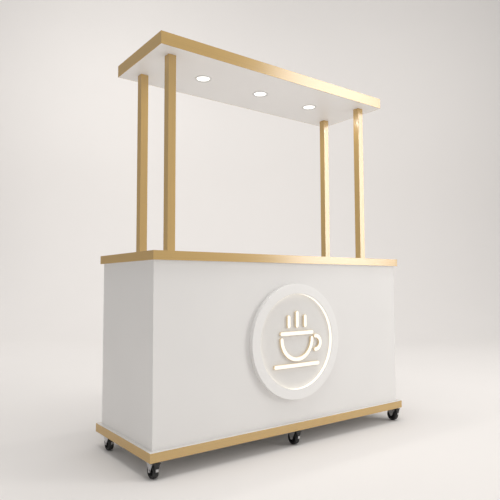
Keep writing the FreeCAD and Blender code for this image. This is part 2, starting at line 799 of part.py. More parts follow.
def power_inlet():
    """Appliance inlet with its contact pins and the cradle of the light switch."""
    body = new_body("inlet_solid")
    half_width, half_height = size["inlet_width"] / 2, size["inlet_height"] / 2
    flange_sketch = sketch_on(body, "XY_Plane", "flange")
    draw_rectangle(flange_sketch, (-half_width, -half_height), (half_width, half_height))
    flange = pad(body, flange_sketch, size["inlet_flange"])
    round_edges(body, flange, size["inlet_corner"], is_upright)
    half_width, half_height = size["inlet_body_width"] / 2, size["inlet_body_height"] / 2
    housing_sketch = sketch_on(body, "XY_Plane", "housing", -size["inlet_body_depth"])
    draw_rectangle(housing_sketch, (-half_width, -half_height), (half_width, half_height))
    pad(body, housing_sketch, size["inlet_body_depth"])

    face = size["inlet_flange"]
    socket_sketch = sketch_on(body, "XY_Plane", "socket", face)
    half_width, half_height = size["socket_width"] / 2, size["socket_height"] / 2
    drop = -size["socket_drop"]
    draw_rectangle(socket_sketch, (-half_width, drop - half_height), (half_width, drop + half_height))
    pocket(body, socket_sketch, size["socket_depth"] * 2)

    cradle_sketch = sketch_on(body, "XY_Plane", "cradle", face)
    half_width = size["rocker_width"] / 2 + size["rocker_clearance"]
    half_height = size["rocker_radius"] + size["rocker_clearance"]
    rise = size["rocker_rise"]
    draw_rectangle(cradle_sketch, (-half_width, rise - half_height), (half_width, rise + half_height))
    pocket(body, cradle_sketch, (half_height + size["rocker_depth"]) * 2)

    pins_sketch = sketch_on(body, "XY_Plane", "pins", face - size["socket_depth"])
    half_width, half_height = size["pin_width"] / 2, size["pin_height"] / 2
    pitch, offset = size["pin_pitch"], size["pin_offset"] / 2
    for x, y in ((-pitch, drop - offset), (ZERO, drop + offset), (pitch, drop - offset)):
        low, high = (x - half_width, y - half_height), (x + half_width, y + half_height)
        draw_rectangle(pins_sketch, low, high)
    pad(body, pins_sketch, size["pin_length"])

    body.Placement = FreeCAD.Placement(Vector(0, 0, 0), FACING_BACK)
    keep(place(body, inlet_x, back_outer, inlet_level), "power_inlet")


def power_switch():
    """Rocker of the light switch, drawn in its level position and stored switched on."""
    body = new_body("rocker_solid")
    sketch = sketch_on(body, "YZ_Plane", "profile")
    radius = size["rocker_radius"]
    draw_circle(sketch, (ZERO, ZERO), radius)
    pad(body, sketch, size["rocker_width"], both_ways=True)
    face = sketch_on(body, "YZ_Plane", "face")
    proud = size["rocker_proud"] + size["rocker_depth"]
    rise = size["rocker_end_proud"] - size["rocker_proud"]
    far = radius + size["overrun"]
    end_far = proud + rise * far / radius
    draw_corners(face, [(proud, ZERO), (end_far, far), (far, far), (far, -far), (end_far, -far)])
    pocket(body, face, size["rocker_width"] * 2)
    turn(body, X_AXIS, math.degrees(math.atan2(rise.value, radius.value)))
    level = inlet_level + size["rocker_rise"]
    axis_y = back_outer + size["inlet_flange"] - size["rocker_depth"]
    keep(place(body, inlet_x, axis_y, level), "power_switch")


# Levels and reaches inside a caster
wheel_radius = size["wheel_diameter"] / 2
race_bottom = mount_level - size["plate_thickness"] - size["raceway_depth"]
crown_top = race_bottom - size["side_clearance"]
crown_bottom = crown_top - size["fork_wall"]
fork_outer = size["fork_inner"] + size["fork_wall"] * 2


def tangent_point(point, centre, radius, side):
    """Where a line from a point touches a circle, on the given side."""
    along = math.atan2(point[1].value - centre[1].value, point[0].value - centre[0].value)
    distance = math.hypot(point[0].value - centre[0].value, point[1].value - centre[1].value)
    angle = along + side * math.acos(radius.value / distance)
    x = centre[0].value + radius.value * math.cos(angle)
    y = centre[1].value + radius.value * math.sin(angle)
    return Vector(x, y, 0), angle


def draw_leg(sketch):
    """Side view of the fork: a long top that tapers to a round end at the axle."""
    front, rear = -size["fork_front"], size["fork_rear"]
    top_front, top_rear = (front, crown_top), (rear, crown_top)
    low_rear = (rear, crown_top - size["fork_rear_drop"])
    low_front = (front, crown_top - size["fork_front_drop"])
    axle, radius = (-size["trail"], wheel_radius), size["fork_boss"]
    rear_touch, rear_angle = tangent_point(low_rear, axle, radius, -1)
    front_touch, front_angle = tangent_point(low_front, axle, radius, 1)

    def spot(point):
        return Vector(point[0].value, point[1].value, 0)

    circle = Part.Circle(spot(axle), Vector(0, 0, 1), radius.value)
    lines = [
        Part.LineSegment(spot(top_front), spot(top_rear)),
        Part.LineSegment(spot(top_rear), spot(low_rear)),
        Part.LineSegment(spot(low_rear), rear_touch),
        Part.ArcOfCircle(circle, front_angle, rear_angle + math.tau),
        Part.LineSegment(front_touch, spot(low_front)),
        Part.LineSegment(spot(low_front), spot(top_front)),
    ]
    for line in lines:
        sketch.addGeometry(line)
    for first, second in ((0, 1), (1, 2), (4, 5), (5, 0)):
        sketch.addConstraint(Sketcher.Constraint("Coincident", first, 2, second, 1))
    sketch.addConstraint(Sketcher.Constraint("Tangent", 2, 2, 3, 2))
    sketch.addConstraint(Sketcher.Constraint("Tangent", 3, 1, 4, 1))
    fix_point(sketch, 0, 1, top_front)
    fix_point(sketch, 1, 1, top_rear)
    fix_point(sketch, 2, 1, low_rear)
    fix_point(sketch, 5, 1, low_front)
    fix_point(sketch, 3, 3, axle)
    number = sketch.addConstraint(Sketcher.Constraint("Radius", 3, radius.value))
    bind(sketch, f"Constraints[{number}]", radius)


def caster_fork(place_name, x, y):
    """Pressed steel fork with a round crown, turning on the kingpin."""
    body = new_body("fork_" + place_name)
    leg = sketch_on(body, "YZ_Plane", "leg")
    draw_leg(leg)
    pad(body, leg, fork_outer, both_ways=True)
    inside = sketch_on(body, "YZ_Plane", "inside")
    over = size["overrun"]
    draw_rectangle(
        inside,
        (-size["fork_front"] - over, -over),
        (size["fork_rear"] + over, crown_bottom),
    )
    pocket(body, inside, size["fork_inner"])
    crown = sketch_on(body, "XY_Plane", "crown", crown_bottom)
    draw_circle(crown, (ZERO, ZERO), size["crown_radius"])
    pad(body, crown, size["fork_wall"])
    centre_hole = sketch_on(body, "XY_Plane", "centre_hole", crown_bottom)
    draw_circle(centre_hole, (ZERO, ZERO), size["kingpin_radius"] + size["running_clearance"])
    pocket(body, centre_hole, size["fork_wall"] * 4)
    holes = sketch_on(body, "YZ_Plane", "holes")
    draw_circle(holes, (-size["trail"], wheel_radius), size["axle_radius"])
    pivot_hole = size["pivot_radius"] + size["running_clearance"]
    draw_circle(holes, (-size["pivot_offset"], size["pivot_level"]), pivot_hole)
    pocket(body, holes, fork_outer * 2)
    keep(place(body, x, y), f"caster_fork_{place_name}")


def caster_axle(place_name, x, y):
    """Bolt through the fork, with its head and nut."""
    half = fork_outer / 2
    head = size["axle_head_height"]
    across = size["axle_head_across"]
    wheel_y = y - size["trail"]
    left_end = (x - half - head, wheel_y, wheel_radius)
    name = "axle_" + place_name
    shank = rod(name + "_shank", size["axle_radius"], (half + head) * 2, left_end, TO_X)
    bolt_head = hexagon(name + "_head", across, head, left_end, TO_X)
    nut = hexagon(name + "_nut", across, head, (x + half, wheel_y, wheel_radius), TO_X)
    keep(fuse(name, [shank, bolt_head, nut]), f"caster_axle_{place_name}")


def caster_tyre(place_name, x, y):
    """Rubber tyre with flat sides and a crowned tread."""
    half, drop = size["tyre_width"] / 2, size["tread_drop"]
    bore, shoulder = size["tyre_bore_radius"], wheel_radius - drop
    crown = (half * half + drop * drop) / (drop * 2)
    body = new_body("tyre_" + place_name)
    sketch = sketch_on(body, "XY_Plane", "profile")
    corners = [(half, shoulder), (half, bore), (-half, bore), (-half, shoulder)]
    spots = [Vector(u.value, v.value, 0) for u, v in corners]
    for start, end in zip(spots, spots[1:]):
        sketch.addGeometry(Part.LineSegment(start, end))
    top = Vector(0, wheel_radius.value, 0)
    sketch.addGeometry(Part.Arc(spots[0], top, spots[3]))
    for joined in ((0, 2, 1, 1), (1, 2, 2, 1), (2, 2, 3, 2), (0, 1, 3, 1)):
        sketch.addConstraint(Sketcher.Constraint("Coincident", *joined))
    for index, corner in enumerate(corners[:3]):
        fix_point(sketch, index, 1, corner)
    fix_point(sketch, 2, 2, corners[3])
    number = sketch.addConstraint(Sketcher.Constraint("Radius", 3, crown.value))
    bind(sketch, f"Constraints[{number}]", crown)
    spin(body, sketch, "H_Axis")
    keep(place(body, x, y - size["trail"], wheel_radius), f"caster_tyre_{place_name}")


def caster_hub(place_name, x, y):
    """Turned hub: rim, web and a boss that runs on the axle."""
    bore = size["axle_radius"] + size["running_clearance"]
    boss = size["hub_boss_radius"]
    half_boss = size["fork_inner"] / 2 - size["side_clearance"]
    half_web, half_rim = size["hub_web"] / 2, size["hub_rim_width"] / 2
    rim = size["tyre_bore_radius"]
    rim_inner = rim - size["hub_rim_thickness"]
    right_side = [
        (half_boss, bore),
        (half_boss, boss),
        (half_web, boss),
        (half_web, rim_inner),
        (half_rim, rim_inner),
        (half_rim, rim),
    ]
    left_side = [(-along, radius) for along, radius in reversed(right_side)]
    body = new_body("hub_" + place_name)
    sketch = sketch_on(body, "XY_Plane", "profile")
    draw_corners(sketch, right_side + left_side)
    spin(body, sketch, "H_Axis")
    keep(place(body, x, y - size["trail"], wheel_radius), f"caster_hub_{place_name}")


def brake_pedal(place_name, x, y):
    """Foot pedal on its pivot pin; its apron carries the steel tongue that grips the tread."""
    pivot = (-size["pivot_offset"], size["pivot_level"])
    tip = -size["pedal_reach"]
    root = tip + size["pedal_tip_length"]
    root_top, tip_top = size["pedal_top"], size["pedal_tip_top"]
    root_bottom = root_top - size["pedal_root_height"]
    arm_bottom, arm_top = pivot[1] - size["pedal_boss"], pivot[1] + size["pedal_boss"]
    body = new_body("pedal_" + place_name)
    arm = sketch_on(body, "YZ_Plane", "arm")
    draw_corners(
        arm, [(pivot[0], arm_bottom), (pivot[0], arm_top), (root, root_top), (root, root_bottom)]
    )
    pad(body, arm, size["pedal_width"], both_ways=True)
    foot = sketch_on(body, "YZ_Plane", "foot")
    tip_bottom = tip_top - size["pedal_tip_height"]
    draw_corners(foot, [(root, root_top), (tip, tip_top), (tip, tip_bottom), (root, root_bottom)])
    pad(body, foot, size["pedal_tip_width"], both_ways=True)
    boss = sketch_on(body, "YZ_Plane", "boss")
    draw_circle(boss, pivot, size["pedal_boss"])
    pad(body, boss, size["pedal_width"], both_ways=True)
    pin = sketch_on(body, "YZ_Plane", "pin")
    draw_circle(pin, pivot, size["pivot_radius"])
    pad(body, pin, fork_outer + size["pivot_end"] * 2, both_ways=True)

    thick = size["tongue_thickness"]
    apron_front = size["pedal_reach"] - size["tongue_inset"] - thick
    apron = sketch_on(body, "XZ_Plane", "apron", apron_front - size["apron_thickness"])
    half_top, half_foot = size["apron_top_width"] / 2, size["apron_foot_width"] / 2
    foot_level, top_level = size["apron_foot"], tip_top - size["pedal_tip_height"] / 2
    draw_corners(
        apron,
        [
            (-half_foot, foot_level),
            (half_foot, foot_level),
            (half_top, top_level),
            (-half_top, top_level),
        ],
    )
    pad(body, apron, size["apron_thickness"])
    place(body, x, y)

    half, low = size["tongue_width"] / 2, size["tongue_foot"]
    tongue = block(
        "tongue_" + place_name,
        (x - half, y - apron_front - thick, low),
        (x + half, y - apron_front, low + size["tongue_length"]),
    )
    keep(group("pedal_set_" + place_name, [body, tongue]), f"brake_pedal_{place_name}")


def caster_plate(place_name, x, y):
    """Fixing plate with the ball race pressed under it and the kingpin."""
    half_x, half_y = size["plate_width"] / 2, size["plate_length"] / 2
    low = -size["plate_thickness"]
    body = new_body("plate_" + place_name)
    outline = sketch_on(body, "XY_Plane", "outline", low)
    draw_rectangle(outline, (-half_x, -half_y), (half_x, half_y))
    pad(body, outline, size["plate_thickness"])
    race = sketch_on(body, "XY_Plane", "race", low - size["raceway_depth"])
    draw_circle(race, (ZERO, ZERO), size["raceway_radius"])
    pad(body, race, size["raceway_depth"])
    head_top = crown_bottom - size["side_clearance"] - mount_level
    head_bottom = head_top - size["kingpin_head_height"]
    pin = sketch_on(body, "XY_Plane", "kingpin", head_bottom)
    draw_circle(pin, (ZERO, ZERO), size["kingpin_radius"])
    pad(body, pin, low - head_bottom)
    head = sketch_on(body, "XY_Plane", "kingpin_head", head_bottom)
    draw_circle(head, (ZERO, ZERO), size["kingpin_head_radius"])
    pad(body, head, size["kingpin_head_height"])
    return place(body, x, y, mount_level)


def casters():
    """Six swivel casters with brakes."""
    plates = []
    for place_name, (x, y) in caster_places.items():
        plates.append(caster_plate(place_name, x, y))
        caster_fork(place_name, x, y)
        caster_axle(place_name, x, y)
        caster_hub(place_name, x, y)
        caster_tyre(place_name, x, y)
        brake_pedal(place_name, x, y)
    keep(group("caster_plate_set", plates), "caster_plates")


def check_document():
    """Stops on any failed object or empty sub-part."""
    doc.recompute()
    failed = [o.Name for o in doc.Objects if "Invalid" in o.State or "Error" in o.State]
    if failed:
        raise RuntimeError(f"objects that failed: {failed}")
    for solid in subparts:
        if solid.Shape.isNull() or not solid.Shape.isValid() or not solid.Shape.Solids:
            raise RuntimeError(f"{solid.Label} has no valid shape")


def write_parts():
    """Writes one file for each sub-part."""
    os.makedirs("parts", exist_ok=True)
    for solid in subparts:
        solid.Shape.exportStep(f"parts/{solid.Label}.step")
        box = solid.Shape.BoundBox
        print(solid.Label, len(solid.Shape.Solids), round(solid.Shape.Volume), box)


base()
cabinet()
shelves()
countertop()
posts()
canopy()
downlights()
sign()
light_driver()
power_inlet()
power_switch()
casters()
check_document()
write_parts()
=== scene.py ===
"""Kiosk cart: finished pieces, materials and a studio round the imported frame."""

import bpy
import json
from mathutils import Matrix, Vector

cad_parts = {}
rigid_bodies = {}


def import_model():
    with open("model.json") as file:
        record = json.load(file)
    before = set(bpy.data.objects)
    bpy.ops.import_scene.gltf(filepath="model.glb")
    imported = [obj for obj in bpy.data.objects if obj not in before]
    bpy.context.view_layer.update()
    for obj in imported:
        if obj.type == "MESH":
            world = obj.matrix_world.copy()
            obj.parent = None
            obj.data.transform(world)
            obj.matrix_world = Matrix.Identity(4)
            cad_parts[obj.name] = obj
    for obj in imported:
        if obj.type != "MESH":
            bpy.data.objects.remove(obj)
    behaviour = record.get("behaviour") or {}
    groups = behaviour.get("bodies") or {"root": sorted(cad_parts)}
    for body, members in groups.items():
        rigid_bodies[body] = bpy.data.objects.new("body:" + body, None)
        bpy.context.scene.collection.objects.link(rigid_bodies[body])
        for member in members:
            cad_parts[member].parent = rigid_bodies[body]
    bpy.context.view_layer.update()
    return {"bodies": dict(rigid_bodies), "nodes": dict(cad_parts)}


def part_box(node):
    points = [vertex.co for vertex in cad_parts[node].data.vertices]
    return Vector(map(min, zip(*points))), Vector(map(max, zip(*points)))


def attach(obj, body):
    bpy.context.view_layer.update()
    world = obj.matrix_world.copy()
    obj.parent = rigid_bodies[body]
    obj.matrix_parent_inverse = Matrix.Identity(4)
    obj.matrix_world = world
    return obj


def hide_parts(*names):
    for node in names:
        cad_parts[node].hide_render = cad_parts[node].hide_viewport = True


bl_info = {
    "name": "Kiosk cart",
    "version": (1, 0, 0),
    "blender": (4, 5, 0),
    "location": "View3D > Sidebar > Kiosk cart",
    "description": "Builds the finished kiosk cart and its studio round the packed frame",
    "category": "Object",
}

import json
import math

import bmesh
import bpy
from bpy.props import FloatProperty, FloatVectorProperty, IntProperty, PointerProperty
from mathutils import Matrix, Vector

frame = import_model()

X_AXIS, Y_AXIS, Z_AXIS = Vector((1, 0, 0)), Vector((0, 1, 0)), Vector((0, 0, 1))
WELD = 1e-6
NEAR = WELD * 10
FLAT_ANGLE = math.radians(0.1)
CORNER_ANGLE = math.radians(30)
SQUARE_ON = 0.99  # cosine between two ways that count as the same
ROUND_SIDES, HEXAGON_SIDES = 24, 6
NOISE_LOW, NOISE_HIGH = 0.3, 0.7  # most of a noise lies between these
LAMP_COLOUR = (1.0, 0.975, 0.945)
CASTERS = [name.removeprefix("swivel_") for name in frame["bodies"] if name.startswith("swivel_")]


def colour(name, description, default):
    """Colour setting, in linear values."""
    return FloatVectorProperty(
        name=name, description=description, subtype="COLOR", size=3, min=0, max=1, default=default
    )


def distance(name, description, default):
    """Length setting, in metres."""
    return FloatProperty(
        name=name, description=description, unit="LENGTH", min=0, precision=4, default=default
    )


def angle(name, description, degrees):
    """Angle setting."""
    return FloatProperty(
        name=name, description=description, unit="ROTATION", default=math.radians(degrees)
    )


def number(name, description, default):
    """Plain number setting."""
    return FloatProperty(name=name, description=description, min=0, default=default)


class FinishSettings(bpy.types.PropertyGroup):
    """Colours of the cart's finishes"""

    lacquer: colour("White lacquer", "Boards of cabinet, counter and canopy", (0.83, 0.82, 0.81))
    sign_rim: colour("Sign rim", "Body of the sign", (0.89, 0.885, 0.875))
    sign_face: colour("Sign face", "Floor of the sign's recess", (0.78, 0.77, 0.755))
    # Darker than the white lacquer: painted shade on the plinth's ledge at the cabinet's foot; the
    # roof panel takes the same tone
    deck: colour("Deck with painted shade", "Deck board, and roof of the canopy", (0.71, 0.695, 0.67))
    gold: colour("Satin gold", "Edge bands and posts", (0.555, 0.354, 0.102))
    powder_coat: colour("Powder coat", "Tube frames", (0.72, 0.72, 0.71))
    zinc: colour("Zinc", "Caster forks, plates, screws, plugs and pegs", (0.56, 0.56, 0.57))
    rubber: colour("Rubber", "Caster tyres", (0.018, 0.018, 0.019))
    black_plastic: colour("Black plastic", "Hubs, pedals, inlet and rocker", (0.016, 0.016, 0.017))
    driver_grey: colour("Driver grey", "Case of the lighting driver", (0.62, 0.63, 0.63))
    contact: colour("Contact metal", "Pins of the power inlet", (0.74, 0.70, 0.62))
    sign_light: colour("Sign light", "Ring and faces of the sign's motif", (1.0, 0.94, 0.83))
    # Warm tan with a faint glow on the motif's sides: painted halo light and shade
    sign_side_painted_halo: colour("Sign sides, painted halo", "Sides of the sign's motif", (0.80, 0.66, 0.44))
    ceiling_light: colour("Canopy light", "Lenses of the downlights", (1.0, 0.985, 0.95))
    lens_border: colour("Lens border", "Dim border of the lenses", (0.80, 0.79, 0.77))


class EdgeSettings(bpy.types.PropertyGroup):
    """How far the edges of each kind of piece are eased"""

    board: distance("Boards", "Eased edge of a lacquered board", 0.0008)
    band: distance("Bands", "Eased edge of a gold band", 0.0005)
    metal: distance("Metal", "Eased edge of pressed and cut metal", 0.0004)
    moulding: distance("Mouldings", "Eased edge of moulded plastic", 0.0006)
    fork_bend: distance("Fork bend", "Bend along the top of a pressed fork", 0.003)
    plate_corner: distance("Plate corners", "Rounded corners of a caster plate", 0.005)
    segments: IntProperty(
        name="Segments", description="Steps round an eased edge", min=1, default=2
    )


class LightSettings(bpy.types.PropertyGroup):
    """Lit sign and canopy lights"""

    rim_edge: distance("Sign rim", "Rounded rim of the sign", 0.0012)
    ring_slope: distance("Ring slope", "Slope along the front of the lit ring", 0.0034)
    stroke: distance("Stroke", "Width of the strokes of the sign's motif", 0.021)
    relief: distance("Relief", "Motif, proud of the sign's recess", 0.013)
    bowl: distance("Bowl", "Middle radius of the motif's cup", 0.115)
    ring_strength: number("Ring strength", "Light of the sign's ring", 0.65)
    sign_strength: number("Sign strength", "Light of the sign's motif", 0.36)
    lens_border: distance("Lens border", "Dim border round the lit middle of a lens", 0.0065)
    lens_strength: number("Lens strength", "Light of the canopy's lenses", 1.3)
    border_strength: number("Border strength", "Light of the lenses' borders", 0.04)
    lens_power: number("Lens power", "Light that each lens throws down, in watts", 1.1)


class CasterSettings(bpy.types.PropertyGroup):
    """Moulded details of the casters"""

    hub_bore: distance("Hub bore", "Bore of a hub, radius", 0.0041)
    hub_boss: distance("Hub boss", "Boss of a hub, radius", 0.008)
    hub_web: distance("Hub web", "Web of a hub beside the wheel's middle plane", 0.0035)
    hub_rim: distance("Hub rim", "Thickness of a hub's rim", 0.003)
    rib_count: IntProperty(name="Hub ribs", description="Ribs of a hub", min=0, default=6)
    rib_width: distance("Rib width", "Thickness of a hub rib", 0.0022)
    rib_reach: distance("Rib reach", "Hub rib beside the wheel's middle plane", 0.0105)
    grip_count: IntProperty(name="Grips", description="Ribs on a pedal", min=0, default=4)
    grip_height: distance("Grip height", "Pedal rib above the foot plate", 0.0005)
    grip_width: distance("Grip width", "Pedal rib, front to back", 0.0014)
    pedal_edge: distance("Pedal edge", "Rounded edge of a pedal", 0.0011)
    screw_inset: distance("Screw inset", "Caster screw from the edges of its plate", 0.008)
    screw_radius: distance("Screw", "Head of a caster screw, radius", 0.0056)


class ElectricSettings(bpy.types.PropertyGroup):
    """Small parts of the inlet and the driver"""

    screw_radius: distance("Screw", "Head of a fixing screw, radius", 0.0032)
    inlet_screws: distance("Inlet screws", "Screws from the middle of the inlet", 0.0195)
    driver_tab: distance("Driver tab", "Thickness of the driver's fixing tabs", 0.002)
    driver_screws: distance("Driver screws", "Screws from the ends of the driver", 0.007)
    socket_drop: distance("Socket drop", "Socket below the middle of the inlet", 0.013)
    socket_depth: distance("Socket depth", "Socket behind the inlet's face", 0.017)
    pin_span: distance("Pin span", "Contact pins to each side of the socket's middle", 0.009)
    pin_rise: distance("Pin rise", "Contact pins above and below the socket's middle", 0.005)


class StageSettings(bpy.types.PropertyGroup):
    """Studio: backdrop, lights and camera"""

    backdrop: colour("Backdrop", "Floor and wall", (0.795, 0.775, 0.762))
    sky: colour("Sky", "Light from all round", (1.0, 0.985, 0.965))
    sky_strength: number("Sky strength", "Light from all round", 0.50)
    key_power: number("Key light", "Lamp at the front right, in watts", 132)
    top_power: number("Top light", "Lamp overhead, in watts", 229)
    wall_left_power: number("Left wall light", "Lamp on the backdrop's left, in watts", 188)
    wall_right_power: number("Right wall light", "Lamp on the backdrop's right, in watts", 90)
    lens: FloatProperty(name="Lens", description="Focal length", unit="CAMERA", default=37.9)
    place: FloatVectorProperty(
        name="Camera place", description="Camera place", subtype="TRANSLATION", size=3,
        default=(-2.039, -2.622, 0.916),
    )
    azimuth: angle("Azimuth", "Camera's turn from straight ahead to the right", 36.68)
    rise: angle("Rise", "Camera's tilt above level", 3.69)
    roll: angle("Roll", "Camera's roll", -0.2)


class CartSettings(bpy.types.PropertyGroup):
    """All settings of the cart"""

    finish: PointerProperty(type=FinishSettings)
    edge: PointerProperty(type=EdgeSettings)
    light: PointerProperty(type=LightSettings)
    caster: PointerProperty(type=CasterSettings)
    electric: PointerProperty(type=ElectricSettings)
    stage: PointerProperty(type=StageSettings)


def settings():
    """The scene's cart settings."""
    return bpy.context.scene.kiosk_cart


class Shading:
    """Node tree of one material, with short ways to add what the finishes share."""

    def __init__(self, name):
        self.material = bpy.data.materials.new(name)
        self.material.use_nodes = True
        self.nodes = self.material.node_tree.nodes
        self.links = self.material.node_tree.links
        self.shader = self.nodes["Principled BSDF"]
        self.place = self.nodes.new("ShaderNodeTexCoord").outputs["Object"]

    def set(self, socket, value):
        """Constant on one of the shader's own sockets."""
        self.shader.inputs[socket].default_value = value

    def stretched(self, scale):
        """Object coordinates, scaled."""
        mapping = self.nodes.new("ShaderNodeMapping")
        mapping.inputs["Scale"].default_value = scale
        self.links.new(self.place, mapping.inputs["Vector"])
        return mapping.outputs["Vector"]

    def noise(self, scale, detail=3.0, vector=None):
        """Noise over the object coordinates."""
        noise = self.nodes.new("ShaderNodeTexNoise")
        noise.inputs["Scale"].default_value = scale
        noise.inputs["Detail"].default_value = detail
        self.links.new(vector or self.place, noise.inputs["Vector"])
        return noise.outputs["Fac"]

    def cells(self, scale):
        """Cell pattern over the object coordinates."""
        cells = self.nodes.new("ShaderNodeTexVoronoi")
        cells.inputs["Scale"].default_value = scale
        self.links.new(self.place, cells.inputs["Vector"])
        return cells.outputs["Color"]

    def tint(self, value, colour_low, colour_high, low=0.35, high=0.65):
        """Base colour between two tints."""
        ramp = self.nodes.new("ShaderNodeValToRGB")
        stops = ((low, colour_low), (high, colour_high))
        for element, (position, tint) in zip(ramp.color_ramp.elements, stops):
            element.position = position
            element.color = (*tint, 1)
        self.links.new(value, ramp.inputs["Fac"])
        self.links.new(ramp.outputs["Color"], self.shader.inputs["Base Color"])

    def roughness(self, value, low, high):
        """Roughness between two values."""
        spread = self.nodes.new("ShaderNodeMapRange")
        spread.inputs["From Min"].default_value = NOISE_LOW
        spread.inputs["From Max"].default_value = NOISE_HIGH
        spread.inputs["To Min"].default_value = low
        spread.inputs["To Max"].default_value = high
        self.links.new(value, spread.inputs["Value"])
        self.links.new(spread.outputs["Result"], self.shader.inputs["Roughness"])

    def relief(self, value, depth):
        """Bump of a depth in metres."""
        bump = self.nodes.new("ShaderNodeBump")
        bump.inputs["Distance"].default_value = depth
        self.links.new(value, bump.inputs["Height"])
        self.links.new(bump.outputs["Normal"], self.shader.inputs["Normal"])


def shade(tint, factor):
    """A tint made lighter or darker."""
    return tuple(min(1.0, part * factor) for part in tint)


def lacquer(name, tint):
    """Sprayed satin lacquer: faint orange peel, and a slow drift in tone."""
    surface = Shading(name)
    drift, patches = surface.noise(scale=1.7, detail=2.0), surface.noise(scale=6.0, detail=4.0)
    surface.tint(drift, shade(tint, 0.985), shade(tint, 1.01))
    surface.roughness(patches, low=0.34, high=0.44)
    surface.relief(surface.noise(scale=420.0, detail=2.0), depth=0.00002)
    surface.set("Specular IOR Level", 0.42)
    return surface.material


def powder_coat(name, tint):
    """Powder coat on steel: a coarse, even orange peel."""
    surface = Shading(name)
    surface.tint(surface.noise(scale=3.0), shade(tint, 0.96), shade(tint, 1.02))
    surface.roughness(surface.noise(scale=40.0), low=0.45, high=0.58)
    surface.relief(surface.noise(scale=900.0, detail=2.0), depth=0.00005)
    return surface.material


def satin_gold(name, tint, grain):
    """Anodised satin metal with its brushing along one way."""
    surface = Shading(name)
    streaks = surface.noise(scale=1.0, detail=5.0, vector=surface.stretched(grain))
    surface.tint(streaks, shade(tint, 0.94), shade(tint, 1.05))
    surface.roughness(streaks, low=0.42, high=0.52)
    surface.relief(streaks, depth=0.00001)
    surface.set("Metallic", 0.25)
    surface.set("Specular IOR Level", 0.1)
    surface.set("Specular Tint", (1.0, 0.7, 0.35, 1.0))
    surface.set("Coat Weight", 0.5)
    surface.set("Coat IOR", 3.0)
    surface.set("Coat Roughness", 0.2)
    return surface.material


def zinc_plate(name, tint):
    """Zinc-plated steel, with the faint mottle of plating."""
    surface = Shading(name)
    mottle = surface.cells(scale=140.0)
    surface.tint(mottle, shade(tint, 0.86), shade(tint, 1.08), low=0.1, high=0.9)
    surface.roughness(surface.noise(scale=90.0, detail=4.0), low=0.28, high=0.46)
    surface.relief(surface.noise(scale=1500.0, detail=2.0), depth=0.00001)
    surface.set("Metallic", 1.0)
    return surface.material


def tyre_rubber(name, tint):
    """Matt rubber with a little floor dust in its grain."""
    surface = Shading(name)
    dust = surface.noise(scale=60.0, detail=6.0)
    surface.tint(dust, tint, shade(tint, 2.4), low=0.45, high=0.8)
    surface.roughness(surface.noise(scale=120.0), low=0.62, high=0.82)
    surface.relief(surface.noise(scale=1800.0, detail=3.0), depth=0.00006)
    return surface.material


def moulded_plastic(name, tint):
    """Injection-moulded plastic with a spark-eroded grain."""
    surface = Shading(name)
    surface.tint(surface.noise(scale=25.0), shade(tint, 0.85), shade(tint, 1.3))
    surface.roughness(surface.noise(scale=70.0), low=0.36, high=0.5)
    surface.relief(surface.noise(scale=2400.0, detail=2.0), depth=0.00003)
    return surface.material


def bare_contact(name, tint):
    """Plated contact metal."""
    surface = Shading(name)
    surface.tint(surface.noise(scale=300.0), shade(tint, 0.9), shade(tint, 1.05))
    surface.roughness(surface.noise(scale=500.0), low=0.2, high=0.32)
    surface.set("Metallic", 1.0)
    return surface.material


def lit_plastic(name, tint, strength):
    """Opal plastic lit from behind, a little uneven in tone; on the motif's sides its faint glow is
    painted halo light.
    """
    surface = Shading(name)
    surface.tint(surface.noise(scale=30.0, detail=2.0), shade(tint, 0.97), tint)
    surface.roughness(surface.noise(scale=80.0), low=0.3, high=0.4)
    surface.set("Emission Color", (*tint, 1))
    surface.set("Emission Strength", strength)
    return surface.material


def finish_named(name):
    """One of the cart's materials, made when it is first asked for."""
    if name in bpy.data.materials:
        return bpy.data.materials[name]
    finish, light = settings().finish, settings().light
    along, upright = (2.0, 2.0, 900.0), (900.0, 900.0, 2.0)
    makers = {
        "white_lacquer": lambda: lacquer(name, finish.lacquer),
        "sign_rim_lacquer": lambda: lacquer(name, finish.sign_rim),
        "sign_face_lacquer": lambda: lacquer(name, finish.sign_face),
        "deck_painted_shade": lambda: lacquer(name, finish.deck),
        "satin_gold_along": lambda: satin_gold(name, finish.gold, along),
        "satin_gold_upright": lambda: satin_gold(name, finish.gold, upright),
        "white_powder_coat": lambda: powder_coat(name, finish.powder_coat),
        "zinc": lambda: zinc_plate(name, finish.zinc),
        "tyre_rubber": lambda: tyre_rubber(name, finish.rubber),
        "moulded_black": lambda: moulded_plastic(name, finish.black_plastic),
        "driver_paint": lambda: powder_coat(name, finish.driver_grey),
        "contact_metal": lambda: bare_contact(name, finish.contact),
        "ring_opal": lambda: lit_plastic(name, finish.sign_light, light.ring_strength),
        "sign_opal": lambda: lit_plastic(name, finish.sign_light, light.sign_strength),
        "sign_side_painted_halo": lambda: lit_plastic(name, finish.sign_side_painted_halo, light.sign_strength / 4),
        "lens_opal": lambda: lit_plastic(name, finish.ceiling_light, light.lens_strength),
        "lens_border_opal": lambda: lit_plastic(name, finish.lens_border, light.border_strength),
    }
    return makers[name]()


def box_of(node):
    """Middle and half size of a CAD node."""
    low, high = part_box(node)
    return (low + high) / 2, (high - low) / 2


def solid_copy(node):
    """Mesh of a CAD node, welded, with its flat faces whole and no walls inside its joints."""
    bm = bmesh.new()
    bm.from_mesh(frame["nodes"][node].data)
    bmesh.ops.remove_doubles(bm, verts=bm.verts, dist=WELD)
    bmesh.ops.dissolve_limit(bm, angle_limit=FLAT_ANGLE, verts=bm.verts, edges=bm.edges)
    walls = [face for face in bm.faces if all(len(edge.link_faces) > 2 for edge in face.edges)]
    bmesh.ops.delete(bm, geom=walls, context="FACES_ONLY")
    return bm


